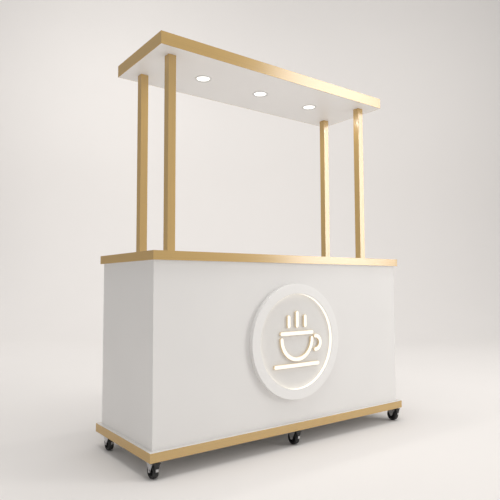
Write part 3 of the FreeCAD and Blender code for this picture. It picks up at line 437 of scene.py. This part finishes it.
def bevel_edges(bm, edges, width, segments):
    """Rounds some edges of a mesh."""
    bmesh.ops.bevel(
        bm, geom=edges, offset=width, offset_type="OFFSET", affect="EDGES",
        segments=segments, profile=0.5, clamp_overlap=True, material=-1,
    )


def ease_edges(bm, width, faces=None):
    """Eases the corners of a mesh, or of some of its faces."""
    edges = set(bm.edges) if faces is None else {edge for face in faces for edge in face.edges}
    corners = [edge for edge in edges if edge.is_manifold and edge.calc_face_angle() > CORNER_ANGLE]
    bevel_edges(bm, corners, width, settings().edge.segments)


def on_circle(vert, centre, radius):
    """Whether a vertex lies on an upright circle that faces the front."""
    out = vert.co - centre
    return abs(out.y) < NEAR and abs(out.length - radius) < NEAR


def spun(bm, outline, axis, out, centre, steps, closed=True):
    """Outline turned once round an axis. Its points are distances along and out from the axis."""
    verts = [bm.verts.new(centre + axis * along + out * radius) for along, radius in outline]
    pairs = list(zip(verts, verts[1:] + verts[:1])) if closed else list(zip(verts, verts[1:]))
    edges = [bm.edges.new(pair) for pair in pairs]
    before = set(bm.faces)
    bmesh.ops.spin(
        bm, geom=verts + edges, cent=centre, axis=axis, angle=math.tau, steps=steps, use_merge=True
    )
    made = [face for face in bm.faces if face not in before]
    corners = {vert for face in made for vert in face.verts}
    bmesh.ops.remove_doubles(bm, verts=list(corners), dist=WELD)
    bmesh.ops.recalc_face_normals(bm, faces=bm.faces)


def rounded_box(bm, centre, half, edge, turn=None, about=None):
    """Box with eased edges, turned about a point if asked."""
    cube = bmesh.ops.create_cube(bm, size=2)
    bmesh.ops.scale(bm, vec=half, verts=cube["verts"])
    bmesh.ops.translate(bm, vec=centre, verts=cube["verts"])
    if turn:
        bmesh.ops.rotate(bm, cent=about, matrix=turn, verts=cube["verts"])
    faces = {face for vert in cube["verts"] for face in vert.link_faces}
    ease_edges(bm, edge, faces=faces)


def disc(bm, seat, way, radius, height, sides, edge):
    """Disc or prism that stands on a seat, with its far rim eased; gives its far face."""
    made = bmesh.ops.create_cone(
        bm, cap_ends=True, segments=sides, radius1=radius, radius2=radius, depth=height
    )["verts"]
    turn = way.to_track_quat("Z", "Y").to_matrix()
    bmesh.ops.rotate(bm, cent=(0, 0, 0), matrix=turn, verts=made)
    bmesh.ops.translate(bm, vec=seat + way * height / 2, verts=made)
    faces = {face for vert in made for face in vert.link_faces}
    far = max(faces, key=lambda face: (face.calc_center_median() - seat).dot(way))
    bevel_edges(bm, list(far.edges), edge, settings().edge.segments)
    return seat + way * height


def hexagon_screw(bm, seat, way, radius):
    """Hexagon head on its washer."""
    washer_radius, washer_height, washer_edge = radius * 1.35, radius * 0.25, radius * 0.08
    head_height, head_edge = radius * 0.75, radius * 0.12
    on_washer = disc(bm, seat, way, washer_radius, washer_height, ROUND_SIDES, washer_edge)
    disc(bm, on_washer, way, radius, head_height, HEXAGON_SIDES, head_edge)


def pan_screw(bm, seat, way, radius):
    """Round head with a socket."""
    height, edge, wall = radius * 0.6, radius * 0.3, radius * 0.25
    socket_depth = height * 0.6
    top = disc(bm, seat, way, radius, height, ROUND_SIDES, edge)
    far = min(bm.faces, key=lambda face: (face.calc_center_median() - top).length)
    bmesh.ops.inset_region(bm, faces=[far], thickness=wall)
    bmesh.ops.translate(bm, vec=-way * socket_depth, verts=far.verts)


def loose_parts(bm):
    """Vertices of each separate shell of a mesh."""
    parts, seen = [], set()
    for start in bm.verts:
        if start in seen:
            continue
        part, waiting = [], [start]
        seen.add(start)
        while waiting:
            vert = waiting.pop()
            part.append(vert)
            for edge in vert.link_edges:
                other = edge.other_vert(vert)
                if other not in seen:
                    seen.add(other)
                    waiting.append(other)
        parts.append(part)
    return parts


def shells(node):
    """Corners of each separate solid of a CAD node."""
    bm = solid_copy(node)
    spots = [[vert.co.copy() for vert in part] for part in loose_parts(bm)]
    bm.free()
    return spots


def one_shell(node, place_from_floor):
    """Mesh of one solid of a CAD node, counted upwards from the lowest."""
    bm = solid_copy(node)
    parts = sorted(loose_parts(bm), key=lambda part: min(vert.co.z for vert in part))
    others = [part for index, part in enumerate(parts) if index != place_from_floor]
    bmesh.ops.delete(bm, geom=[vert for part in others for vert in part], context="VERTS")
    return bm


def add_piece(name, bm, finish, body, stands_for=()):
    """Makes a piece of the cart from a mesh that is already in place."""
    mesh = bpy.data.meshes.new(name)
    bm.to_mesh(mesh)
    bm.free()
    mesh.materials.append(finish_named(finish))
    mesh.shade_smooth()
    piece = bpy.data.objects.new(name, mesh)
    bpy.context.scene.collection.objects.link(piece)
    piece.modifiers.new("even_shading", "WEIGHTED_NORMAL")
    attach(piece, body)
    if stands_for:
        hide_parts(*stands_for)
    return piece


def add_eased_copy(node, finish, body, edge):
    """Piece in the shape of a CAD node, with its edges eased."""
    bm = solid_copy(node)
    ease_edges(bm, edge)
    return add_piece(f"{node}_finished", bm, finish, body, [node])


class KIOSK_OT_boards(bpy.types.Operator):
    """Lacquered boards of the plinth, cabinet, counter and canopy"""

    bl_idname = "kiosk.boards"
    bl_label = "Boards"

    nodes = (
        "front_panel", "left_end_panel", "right_end_panel", "centre_divider", "back_rail",
        "shelves", "countertop", "soffit_panel",
    )

    def execute(self, context):
        edge = settings().edge.board
        for node in self.nodes:
            add_eased_copy(node, "white_lacquer", "cart", edge)
        # The deck and the roof take the darker tone, painted shade for the plinth's ledge
        for node in ("base_deck", "roof_panel"):
            add_eased_copy(node, "deck_painted_shade", "cart", edge)
        return {"FINISHED"}


class KIOSK_OT_bands(bpy.types.Operator):
    """Gold bands round the plinth, counter and canopy"""

    bl_idname = "kiosk.bands"
    bl_label = "Edge bands"

    def execute(self, context):
        for node in ("base_edge_trim", "counter_edge_trim", "canopy_edge_trim"):
            add_eased_copy(node, "satin_gold_along", "cart", settings().edge.band)
        return {"FINISHED"}


class KIOSK_OT_posts(bpy.types.Operator):
    """Four square gold posts"""

    bl_idname = "kiosk.posts"
    bl_label = "Posts"

    def execute(self, context):
        for place in ("front_left", "front_right", "back_left", "back_right"):
            edge = settings().edge.metal
            add_eased_copy(f"post_{place}", "satin_gold_upright", "cart", edge)
        return {"FINISHED"}


class KIOSK_OT_frames(bpy.types.Operator):
    """Tube frames of the plinth and the canopy, with plugs, pegs and caster plates"""

    bl_idname = "kiosk.frames"
    bl_label = "Frames and hardware"

    corner_segments = 6

    def execute(self, context):
        edge = settings().edge.metal
        for node in ("base_frame", "canopy_frame"):
            add_eased_copy(node, "white_powder_coat", "cart", edge)
        for node in ("post_plugs", "shelf_pegs"):
            add_eased_copy(node, "zinc", "cart", edge)
        self.add_plates()
        return {"FINISHED"}

    def add_plates(self):
        """Caster plates with rounded corners, each on four hexagon-head screws."""
        caster, edge = settings().caster, settings().edge
        bm = solid_copy("caster_plates")
        corners = [
            line for line in bm.edges
            if abs((line.verts[0].co - line.verts[1].co).normalized().z) > SQUARE_ON
            and line.calc_face_angle(0) > CORNER_ANGLE
        ]
        bevel_edges(bm, corners, edge.plate_corner, self.corner_segments)
        ease_edges(bm, edge.metal)
        add_piece("caster_plates_finished", bm, "zinc", "cart", ["caster_plates"])

        bm = bmesh.new()
        for spots in shells("caster_plates"):
            xs, ys = [spot.x for spot in spots], [spot.y for spot in spots]
            top = max(spot.z for spot in spots)
            under = max(spot.z for spot in spots if spot.z < top - NEAR)
            for x in (min(xs) + caster.screw_inset, max(xs) - caster.screw_inset):
                for y in (min(ys) + caster.screw_inset, max(ys) - caster.screw_inset):
                    hexagon_screw(bm, Vector((x, y, under)), -Z_AXIS, caster.screw_radius)
        add_piece("caster_screws", bm, "zinc", "cart")


class KIOSK_OT_sign(bpy.types.Operator):
    """Round dished sign with a lit ring and a raised cup motif"""

    bl_idname = "kiosk.sign"
    bl_label = "Sign"

    dish_steps, rim_segments, arc_steps, end_steps = 128, 4, 32, 12
    # A face glows where it turns this far to the sign's middle, or to the front
    ring_facing, motif_facing = 0.3, 0.5
    # Shares of the motif's stroke
    gap_share, steam_gap_share = 1.6, 2
    # Shares of the radius of its bowl
    rise_share, saucer_share = 0.1, 1.4
    handle_out_share, handle_drop_share, handle_radius_share = 1.24, 0.25, 0.34
    steam_pitch_share, steam_shares = 0.54, {-1: 0.44, 0: 0.64, 1: 0.44}

    def execute(self, context):
        middle, half = box_of("sign_housing")
        lit_middle, lit_half = box_of("sign_lights")
        back = Vector((middle.x, middle.y + half.y, middle.z))
        thickness = half.y * 2
        floor = back.y - (lit_middle.y + lit_half.y)

        bm = bmesh.new()
        outline = [
            (0, 0), (0, half.x), (thickness, half.x),
            (thickness, lit_half.x), (floor, lit_half.x), (floor, 0),
        ]
        spun(bm, outline, -Y_AXIS, X_AXIS, back, self.dish_steps, closed=False)
        rim = [
            edge for edge in bm.edges
            if all(on_circle(vert, back - Y_AXIS * thickness, half.x) for vert in edge.verts)
        ]
        bevel_edges(bm, rim, settings().light.rim_edge, self.rim_segments)
        ease_edges(bm, settings().edge.metal)
        for face in bm.faces:
            spot = face.calc_center_median() - back
            in_recess = abs(spot.y + floor) < NEAR and face.normal.y < -SQUARE_ON
            face.material_index = 1 if in_recess else 0
        dish = add_piece(
            "sign_dish", bm, "sign_rim_lacquer", "cart", ["sign_housing"]
        )
        dish.data.materials.append(finish_named("sign_face_lacquer"))

        bm = solid_copy("sign_lights")
        mouth = lit_middle - Y_AXIS * lit_half.y
        bore = min((vert.co - mouth).length for vert in bm.verts)
        slope = [
            edge for edge in bm.edges if all(on_circle(vert, mouth, bore) for vert in edge.verts)
        ]
        bevel_edges(bm, slope, settings().light.ring_slope, segments=1)
        ease_edges(bm, settings().edge.metal)
        for face in bm.faces:
            inward = (lit_middle - face.calc_center_median()).normalized()
            face.material_index = 0 if inward.dot(face.normal) > self.ring_facing else 1
        ring = add_piece("sign_ring", bm, "ring_opal", "cart", ["sign_lights"])
        ring.data.materials.append(finish_named("white_lacquer"))

        bm = bmesh.new()
        self.draw_cup(bm, Vector((middle.x, back.y - floor, middle.z)))
        raised = bmesh.ops.extrude_face_region(bm, geom=list(bm.faces))
        tops = [item for item in raised["geom"] if isinstance(item, bmesh.types.BMVert)]
        bmesh.ops.translate(bm, vec=-Y_AXIS * settings().light.relief, verts=tops)
        bmesh.ops.recalc_face_normals(bm, faces=bm.faces)
        bmesh.ops.dissolve_limit(bm, angle_limit=FLAT_ANGLE, verts=bm.verts, edges=bm.edges)
        ease_edges(bm, settings().edge.moulding)
        # Sides of the strokes take the warm tan with a faint glow: painted halo light and shade
        for face in bm.faces:
            face.material_index = 1 if face.normal.y > -self.motif_facing else 0
        motif = add_piece("sign_motif", bm, "sign_opal", "cart")
        motif.data.materials.append(finish_named("sign_side_painted_halo"))
        return {"FINISHED"}

    def draw_cup(self, bm, centre):
        """Cup, saucer and steam as rounded strokes on the floor of the recess."""
        stroke, bowl = settings().light.stroke, settings().light.bowl
        gap = stroke * self.gap_share
        level = centre + Z_AXIS * bowl * self.rise_share
        rim, saucer = level + Z_AXIS * gap, level - Z_AXIS * (bowl + gap)
        self.arc_stroke(bm, level, bowl, 180, 360)
        self.bar_stroke(bm, rim - X_AXIS * bowl, rim + X_AXIS * bowl)
        reach = X_AXIS * bowl * self.saucer_share
        self.bar_stroke(bm, saucer - reach, saucer + reach)
        out, drop = X_AXIS * bowl * self.handle_out_share, Z_AXIS * bowl * self.handle_drop_share
        self.arc_stroke(bm, level + out - drop, bowl * self.handle_radius_share, -90, 90)
        steam_foot = rim + Z_AXIS * stroke * self.steam_gap_share
        for side, length_share in self.steam_shares.items():
            foot = steam_foot + X_AXIS * bowl * self.steam_pitch_share * side
            self.bar_stroke(bm, foot, foot + Z_AXIS * bowl * length_share)

    def bar_stroke(self, bm, start, end):
        """Flat bar with round ends."""
        across = (end - start).normalized().cross(Y_AXIS) * settings().light.stroke / 2
        verts = [bm.verts.new(start + across * side) for side in (-1, 0, 1)]
        edges = [bm.edges.new(pair) for pair in zip(verts, verts[1:])]
        swept = bmesh.ops.extrude_edge_only(bm, edges=edges)
        far = [item for item in swept["geom"] if isinstance(item, bmesh.types.BMVert)]
        bmesh.ops.translate(bm, vec=end - start, verts=far)
        self.round_end(bm, start, across)
        self.round_end(bm, end, -across)
        bmesh.ops.remove_doubles(bm, verts=bm.verts, dist=WELD)

    def arc_stroke(self, bm, centre, radius, start, end):
        """Flat arc with round ends; angles in degrees, counted from +X towards +Z."""
        half = settings().light.stroke / 2
        ways = [
            Vector((math.cos(math.radians(a)), 0, math.sin(math.radians(a)))) for a in (start, end)
        ]
        verts = [bm.verts.new(centre + ways[0] * (radius + side * half)) for side in (-1, 0, 1)]
        edges = [bm.edges.new(pair) for pair in zip(verts, verts[1:])]
        bmesh.ops.spin(
            bm, geom=verts + edges, cent=centre, axis=-Y_AXIS,
            angle=math.radians(end - start), steps=self.arc_steps,
        )
        self.round_end(bm, centre + ways[0] * radius, -ways[0] * half)
        self.round_end(bm, centre + ways[1] * radius, ways[1] * half)
        bmesh.ops.remove_doubles(bm, verts=bm.verts, dist=WELD)

    def round_end(self, bm, middle, reach):
        """Half disc that closes a stroke, turned from one of its sides to the other."""
        verts = [bm.verts.new(middle), bm.verts.new(middle + reach)]
        edge = bm.edges.new(verts)
        bmesh.ops.spin(
            bm, geom=verts + [edge], cent=middle, axis=-Y_AXIS, angle=math.pi, steps=self.end_steps
        )


class KIOSK_OT_downlights(bpy.types.Operator):
    """Three recessed downlights in the canopy"""

    bl_idname = "kiosk.downlights"
    bl_label = "Downlights"

    def execute(self, context):
        edge = settings().edge.metal
        add_eased_copy("downlight_housings", "white_powder_coat", "cart", edge)
        bm = solid_copy("downlight_lenses")
        ease_edges(bm, edge)
        middles = [face for face in bm.faces if face.normal.z < -SQUARE_ON]
        bmesh.ops.inset_individual(bm, faces=middles, thickness=settings().light.lens_border)
        for face in bm.faces:
            face.material_index = 0 if face in middles else 1
        lenses = add_piece(
            "downlight_lenses_finished", bm, "lens_opal", "cart", ["downlight_lenses"]
        )
        lenses.data.materials.append(finish_named("lens_border_opal"))
        return {"FINISHED"}


class KIOSK_OT_electrics(bpy.types.Operator):
    """Lighting driver, power inlet and light switch at the back"""

    bl_idname = "kiosk.electrics"
    bl_label = "Electrics"

    def execute(self, context):
        edge = settings().edge
        add_eased_copy("light_driver", "driver_paint", "cart", edge.moulding)
        add_eased_copy(
            "power_switch", "moulded_black", "switch_rocker", edge.metal
        )
        self.add_inlet()
        self.add_screws()
        return {"FINISHED"}

    def add_inlet(self):
        """Moulded inlet with bright contact pins in its socket."""
        electric = settings().electric
        middle, half = box_of("power_inlet")
        floor = middle.y + half.y - electric.socket_depth
        bm = solid_copy("power_inlet")
        ease_edges(bm, settings().edge.metal)
        for face in bm.faces:
            spot = face.calc_center_median() - middle
            beside = abs(spot.x) < electric.pin_span
            level = abs(spot.z + electric.socket_drop) < electric.pin_rise
            off_floor = floor + NEAR < spot.y + middle.y < middle.y + half.y - NEAR
            face.material_index = 1 if beside and level and off_floor else 0
        inlet = add_piece(
            "power_inlet_finished", bm, "moulded_black", "cart", ["power_inlet"]
        )
        inlet.data.materials.append(finish_named("contact_metal"))

    def add_screws(self):
        """Screws of the inlet's flange and of the driver's tabs."""
        electric = settings().electric
        bm = bmesh.new()
        middle, half = box_of("power_inlet")
        for side in (-1, 1):
            seat = middle + Vector((electric.inlet_screws * side, half.y, 0))
            pan_screw(bm, seat, Y_AXIS, electric.screw_radius)
        middle, half = box_of("light_driver")
        for side in (-1, 1):
            reach = (half.x - electric.driver_screws) * side
            seat = middle + Vector((reach, half.y - electric.driver_tab, 0))
            pan_screw(bm, seat, -Y_AXIS, electric.screw_radius)
        add_piece("electric_screws", bm, "zinc", "cart")


class KIOSK_OT_casters(bpy.types.Operator):
    """Six swivel casters with ribbed hubs and foot brakes"""

    bl_idname = "kiosk.casters"
    bl_label = "Casters"

    bend_segments, tyre_steps, tread_steps, hub_steps = 4, 72, 12, 64
    # Tyre: shares of its half width, and of its depth from bore to tread
    wall_share, wall_rise_share, shoulder_share = 0.94, 0.4, 0.5
    crown_power = 0.4
    # Hub: shares of its half width, of its boss and of its rim's radius
    boss_edge_share, rim_share = 0.92, 0.8
    boss_face_share, rib_root_share = 0.86, 0.9
    rim_flare_share, rib_tip_share = 1.03, 1.04
    # Pedal: shares of the foot plate's width, and of its length from the tip
    grip_share, first_grip_share, grip_spread_share = 0.4, 0.3, 0.55
    upward = 0.9

    def execute(self, context):
        edge = settings().edge
        for place in CASTERS:
            swivel, wheel = f"swivel_{place}", f"wheel_{place}"
            self.add_fork(place, swivel)
            add_eased_copy(f"caster_axle_{place}", "zinc", swivel, edge.metal)
            self.add_tyre(place, wheel)
            self.add_hub(place, wheel)
            self.add_pedal(place)
        return {"FINISHED"}

    def add_fork(self, place, body):
        """Pressed fork, rolled over along the top of each leg."""
        edge = settings().edge
        node = f"caster_fork_{place}"
        half = box_of(node)[1]
        bm = solid_copy(node)
        top = max(vert.co.z for vert in bm.verts)
        bends = [
            line for line in bm.edges
            if all(top - vert.co.z < NEAR for vert in line.verts)
            and abs(line.verts[0].co.y - line.verts[1].co.y) > half.y / 2
        ]
        bevel_edges(bm, bends, edge.fork_bend, self.bend_segments)
        ease_edges(bm, edge.metal)
        add_piece(f"{node}_finished", bm, "zinc", body, [node])

    def add_tyre(self, place, body):
        """Tyre with a crowned tread and recessed side walls."""
        node = f"caster_tyre_{place}"
        centre, half = box_of(node)
        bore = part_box(f"caster_hub_{place}")[1].z - centre.z
        shoulder = bore + (half.z - bore) * self.shoulder_share
        wall, wall_rise = half.x * self.wall_share, (shoulder - bore) * self.wall_rise_share
        outline = [(-half.x, bore), (-wall, bore + wall_rise)]
        for step in range(-self.tread_steps, self.tread_steps + 1):
            turn = math.radians(90) * step / self.tread_steps
            crown = abs(math.cos(turn)) ** self.crown_power
            outline.append((half.x * math.sin(turn), shoulder + (half.z - shoulder) * crown))
        outline += [(wall, bore + wall_rise), (half.x, bore)]
        bm = bmesh.new()
        spun(bm, outline, X_AXIS, Z_AXIS, centre, self.tyre_steps)
        add_piece(f"{node}_finished", bm, "tyre_rubber", body, [node])

    def add_hub(self, place, body):
        """Hub with a dished web, ribs on both sides and a boss on the axle."""
        caster = settings().caster
        node = f"caster_hub_{place}"
        centre, half = box_of(node)
        bore, boss, web = caster.hub_bore, caster.hub_boss, caster.hub_web
        rim, rim_half = half.z - caster.hub_rim, half.x * self.rim_share
        side = [
            (half.x, bore), (half.x, boss * self.boss_face_share),
            (half.x * self.boss_edge_share, boss), (web, boss), (web, rim),
            (rim_half, rim * self.rim_flare_share), (rim_half, half.z),
        ]
        outline = side + [(-along, radius) for along, radius in reversed(side)]
        bm = bmesh.new()
        spun(bm, outline, X_AXIS, Z_AXIS, centre, self.hub_steps)
        ease_edges(bm, settings().edge.moulding)
        inner, outer = boss * self.rib_root_share, rim * self.rib_tip_share
        for index in range(caster.rib_count):
            turn = Matrix.Rotation(math.tau * index / caster.rib_count, 3, "X")
            middle = centre + Z_AXIS * (inner + outer) / 2
            size = Vector((caster.rib_reach, caster.rib_width / 2, (outer - inner) / 2))
            rounded_box(bm, middle, size, settings().edge.metal, turn, centre)
        add_piece(f"{node}_finished", bm, "moulded_black", body, [node])

    def add_pedal(self, place):
        """Moulded pedal with grip ribs, and its steel brake tongue."""
        caster = settings().caster
        node, body = f"brake_pedal_{place}", f"pedal_{place}"
        pedal = one_shell(node, 1)
        tops = [face for face in pedal.faces if face.normal.z > self.upward]
        foot = max(tops, key=lambda face: (face.calc_area(), -face.calc_center_median().y))
        spots = [vert.co.copy() for vert in foot.verts]
        tip, root = min(spots, key=lambda spot: spot.y), max(spots, key=lambda spot: spot.y)
        low_x, high_x = min(spot.x for spot in spots), max(spot.x for spot in spots)
        half = Vector(
            ((high_x - low_x) * self.grip_share, caster.grip_width / 2, caster.grip_height * 2)
        )
        ease_edges(pedal, caster.pedal_edge)
        for index in range(caster.grip_count):
            part = self.grip_spread_share * index / (caster.grip_count - 1)
            spot = tip.lerp(root, self.first_grip_share + part) - Z_AXIS * caster.grip_height
            spot.x = (low_x + high_x) / 2
            rounded_box(pedal, spot, half, settings().edge.metal)
        add_piece(f"{node}_finished", pedal, "moulded_black", body, [node])

        tongue = one_shell(node, 0)
        ease_edges(tongue, settings().edge.metal)
        add_piece(f"brake_tongue_{place}", tongue, "zinc", body)


class KIOSK_OT_stage(bpy.types.Operator):
    """Seamless backdrop, soft lights and the camera"""

    bl_idname = "kiosk.stage"
    bl_label = "Stage"

    # Backdrop, in metres
    front, reach, bend, rise, half_width = -20.0, 5.0, 3.5, 5.0, 20.0
    bend_steps = 24
    # Lamps on the cart: place, target, and width and height
    key_place, key_target, key_size = (4.62, -4.42, 2.9), (0.2, -0.3, 1.3), (1.9, 4.2)
    top_place, top_target, top_size = (-0.5, -1.2, 7), (-0.5, -1.2, 0), (4, 4)
    # Lamps on the backdrop: distances ahead, aside and up, and width and height
    wall_place, wall_target, wall_size = (2.5, 3.8, 6.5), (8.5, 3.1, 3.5), (3, 1.5)
    lens_share = 0.9

    def execute(self, context):
        self.add_backdrop()
        self.add_lights()
        self.add_camera()
        context.scene.view_settings.view_transform = "Standard"
        return {"FINISHED"}

    def add_backdrop(self):
        """Floor that curves up into a wall, square to the camera."""
        bm = bmesh.new()
        ends = [bm.verts.new((side * self.half_width, self.front, 0)) for side in (-1, 1)]
        far = self.carry_on(bm, [bm.edges.new(ends)], Y_AXIS * (self.reach - self.front))
        curved = bmesh.ops.spin(
            bm, geom=far, cent=(0, self.reach, self.bend), axis=X_AXIS,
            angle=math.pi / 2, steps=self.bend_steps,
        )
        top = [item for item in curved["geom_last"] if isinstance(item, bmesh.types.BMEdge)]
        self.carry_on(bm, top, Z_AXIS * self.rise)
        turn = Matrix.Rotation(-settings().stage.azimuth, 3, "Z")
        bmesh.ops.rotate(bm, cent=(0, 0, 0), matrix=turn, verts=bm.verts)
        mesh = bpy.data.meshes.new("backdrop")
        bm.to_mesh(mesh)
        bm.free()
        mesh.shade_smooth()
        surface = Shading("backdrop_paper")
        tint = settings().stage.backdrop
        surface.tint(surface.noise(scale=0.6, detail=2.0), shade(tint, 0.99), tint)
        surface.roughness(surface.noise(scale=4.0), low=0.75, high=0.85)
        surface.set("Specular IOR Level", 0.2)
        mesh.materials.append(surface.material)
        backdrop = bpy.data.objects.new("backdrop", mesh)
        bpy.context.scene.collection.objects.link(backdrop)

    def carry_on(self, bm, edges, step):
        """Extends a sheet from its last edges; gives the new edges and their ends."""
        swept = bmesh.ops.extrude_edge_only(bm, edges=edges)["geom"]
        verts = [item for item in swept if isinstance(item, bmesh.types.BMVert)]
        bmesh.ops.translate(bm, vec=step, verts=verts)
        last = [
            item for item in swept
            if isinstance(item, bmesh.types.BMEdge) and all(vert in verts for vert in item.verts)
        ]
        return verts + last

    def add_lights(self):
        """Even sky, lamps at the front right, overhead and on the backdrop, and the downlights."""
        stage = settings().stage
        world = bpy.data.worlds.new("studio")
        world.use_nodes = True
        sky = world.node_tree.nodes["Background"]
        sky.inputs["Color"].default_value = (*stage.sky, 1)
        sky.inputs["Strength"].default_value = stage.sky_strength
        bpy.context.scene.world = world
        self.add_lamp(
            "key_light", stage.key_power, self.key_place, self.key_target, self.key_size
        )
        self.add_lamp(
            "top_light", stage.top_power, self.top_place, self.top_target, self.top_size
        )
        ahead = Vector((math.sin(stage.azimuth), math.cos(stage.azimuth), 0))
        aside = ahead.cross(Z_AXIS)
        for name, side, power in (
            ("wall_left_light", -aside, stage.wall_left_power),
            ("wall_right_light", aside, stage.wall_right_power),
        ):
            place, target = (
                ahead * away + side * out + Z_AXIS * up
                for away, out, up in (self.wall_place, self.wall_target)
            )
            self.add_lamp(name, power, place, target, self.wall_size)
        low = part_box("downlight_housings")[0].z - WELD
        for index, spots in enumerate(shells("downlight_lenses")):
            middle = sum(spots, Vector()) / len(spots)
            width = max(spot.x for spot in spots) - min(spot.x for spot in spots)
            size = (width * self.lens_share, width * self.lens_share)
            place = Vector((middle.x, middle.y, low))
            power = settings().light.lens_power
            self.add_lamp(f"lens_light_{index}", power, place, place - Z_AXIS, size, "DISK")

    def add_lamp(self, name, power, place, target, size, shape="RECTANGLE"):
        """Soft box or disk that faces a point."""
        light = bpy.data.lights.new(name, "AREA")
        light.shape = shape
        light.energy = power
        light.size, light.size_y = size
        light.color = LAMP_COLOUR
        lamp = bpy.data.objects.new(name, light)
        lamp.location = place
        lamp.rotation_euler = (Vector(target) - Vector(place)).to_track_quat("-Z", "Y").to_euler()
        lamp.visible_camera = False
        bpy.context.scene.collection.objects.link(lamp)

    def add_camera(self):
        """Camera at the photograph's viewing angle."""
        stage = settings().stage
        data = bpy.data.cameras.new("photo_camera")
        data.lens = stage.lens
        camera = bpy.data.objects.new("photo_camera", data)
        turn = Matrix.Rotation(-stage.azimuth, 4, "Z")
        tilt = Matrix.Rotation(math.pi / 2 + stage.rise, 4, "X")
        roll = Matrix.Rotation(stage.roll, 4, "Z")
        camera.matrix_world = Matrix.Translation(stage.place) @ turn @ tilt @ roll
        bpy.context.scene.collection.objects.link(camera)
        bpy.context.scene.camera = camera


class KIOSK_PT_cart(bpy.types.Panel):
    """Panel with the cart's settings and operators"""

    bl_label = "Kiosk cart"
    bl_idname = "KIOSK_PT_cart"
    bl_space_type = "VIEW_3D"
    bl_region_type = "UI"
    bl_category = "Kiosk cart"

    def draw(self, context):
        for group_name in ("finish", "edge", "light", "caster", "electric", "stage"):
            group = getattr(context.scene.kiosk_cart, group_name)
            box = self.layout.box()
            box.label(text=group_name.title())
            for setting in group.__annotations__:
                box.prop(group, setting)
        for operator in OPERATORS:
            self.layout.operator(operator.bl_idname)


SETTING_GROUPS = (
    FinishSettings, EdgeSettings, LightSettings, CasterSettings, ElectricSettings, StageSettings,
    CartSettings,
)
OPERATORS = (
    KIOSK_OT_boards, KIOSK_OT_bands, KIOSK_OT_posts, KIOSK_OT_frames, KIOSK_OT_sign,
    KIOSK_OT_downlights, KIOSK_OT_electrics, KIOSK_OT_casters, KIOSK_OT_stage,
)


def register():
    for item in (*SETTING_GROUPS, *OPERATORS, KIOSK_PT_cart):
        bpy.utils.register_class(item)
    bpy.types.Scene.kiosk_cart = PointerProperty(type=CartSettings)


def unregister():
    del bpy.types.Scene.kiosk_cart
    for item in reversed((*SETTING_GROUPS, *OPERATORS, KIOSK_PT_cart)):
        bpy.utils.unregister_class(item)


def main():
    """Builds the cart and its stage."""
    register()
    bpy.ops.kiosk.boards()
    bpy.ops.kiosk.bands()
    bpy.ops.kiosk.posts()
    bpy.ops.kiosk.frames()
    bpy.ops.kiosk.sign()
    bpy.ops.kiosk.downlights()
    bpy.ops.kiosk.electrics()
    bpy.ops.kiosk.casters()
    bpy.ops.kiosk.stage()


if __name__ == "__main__":
    main()
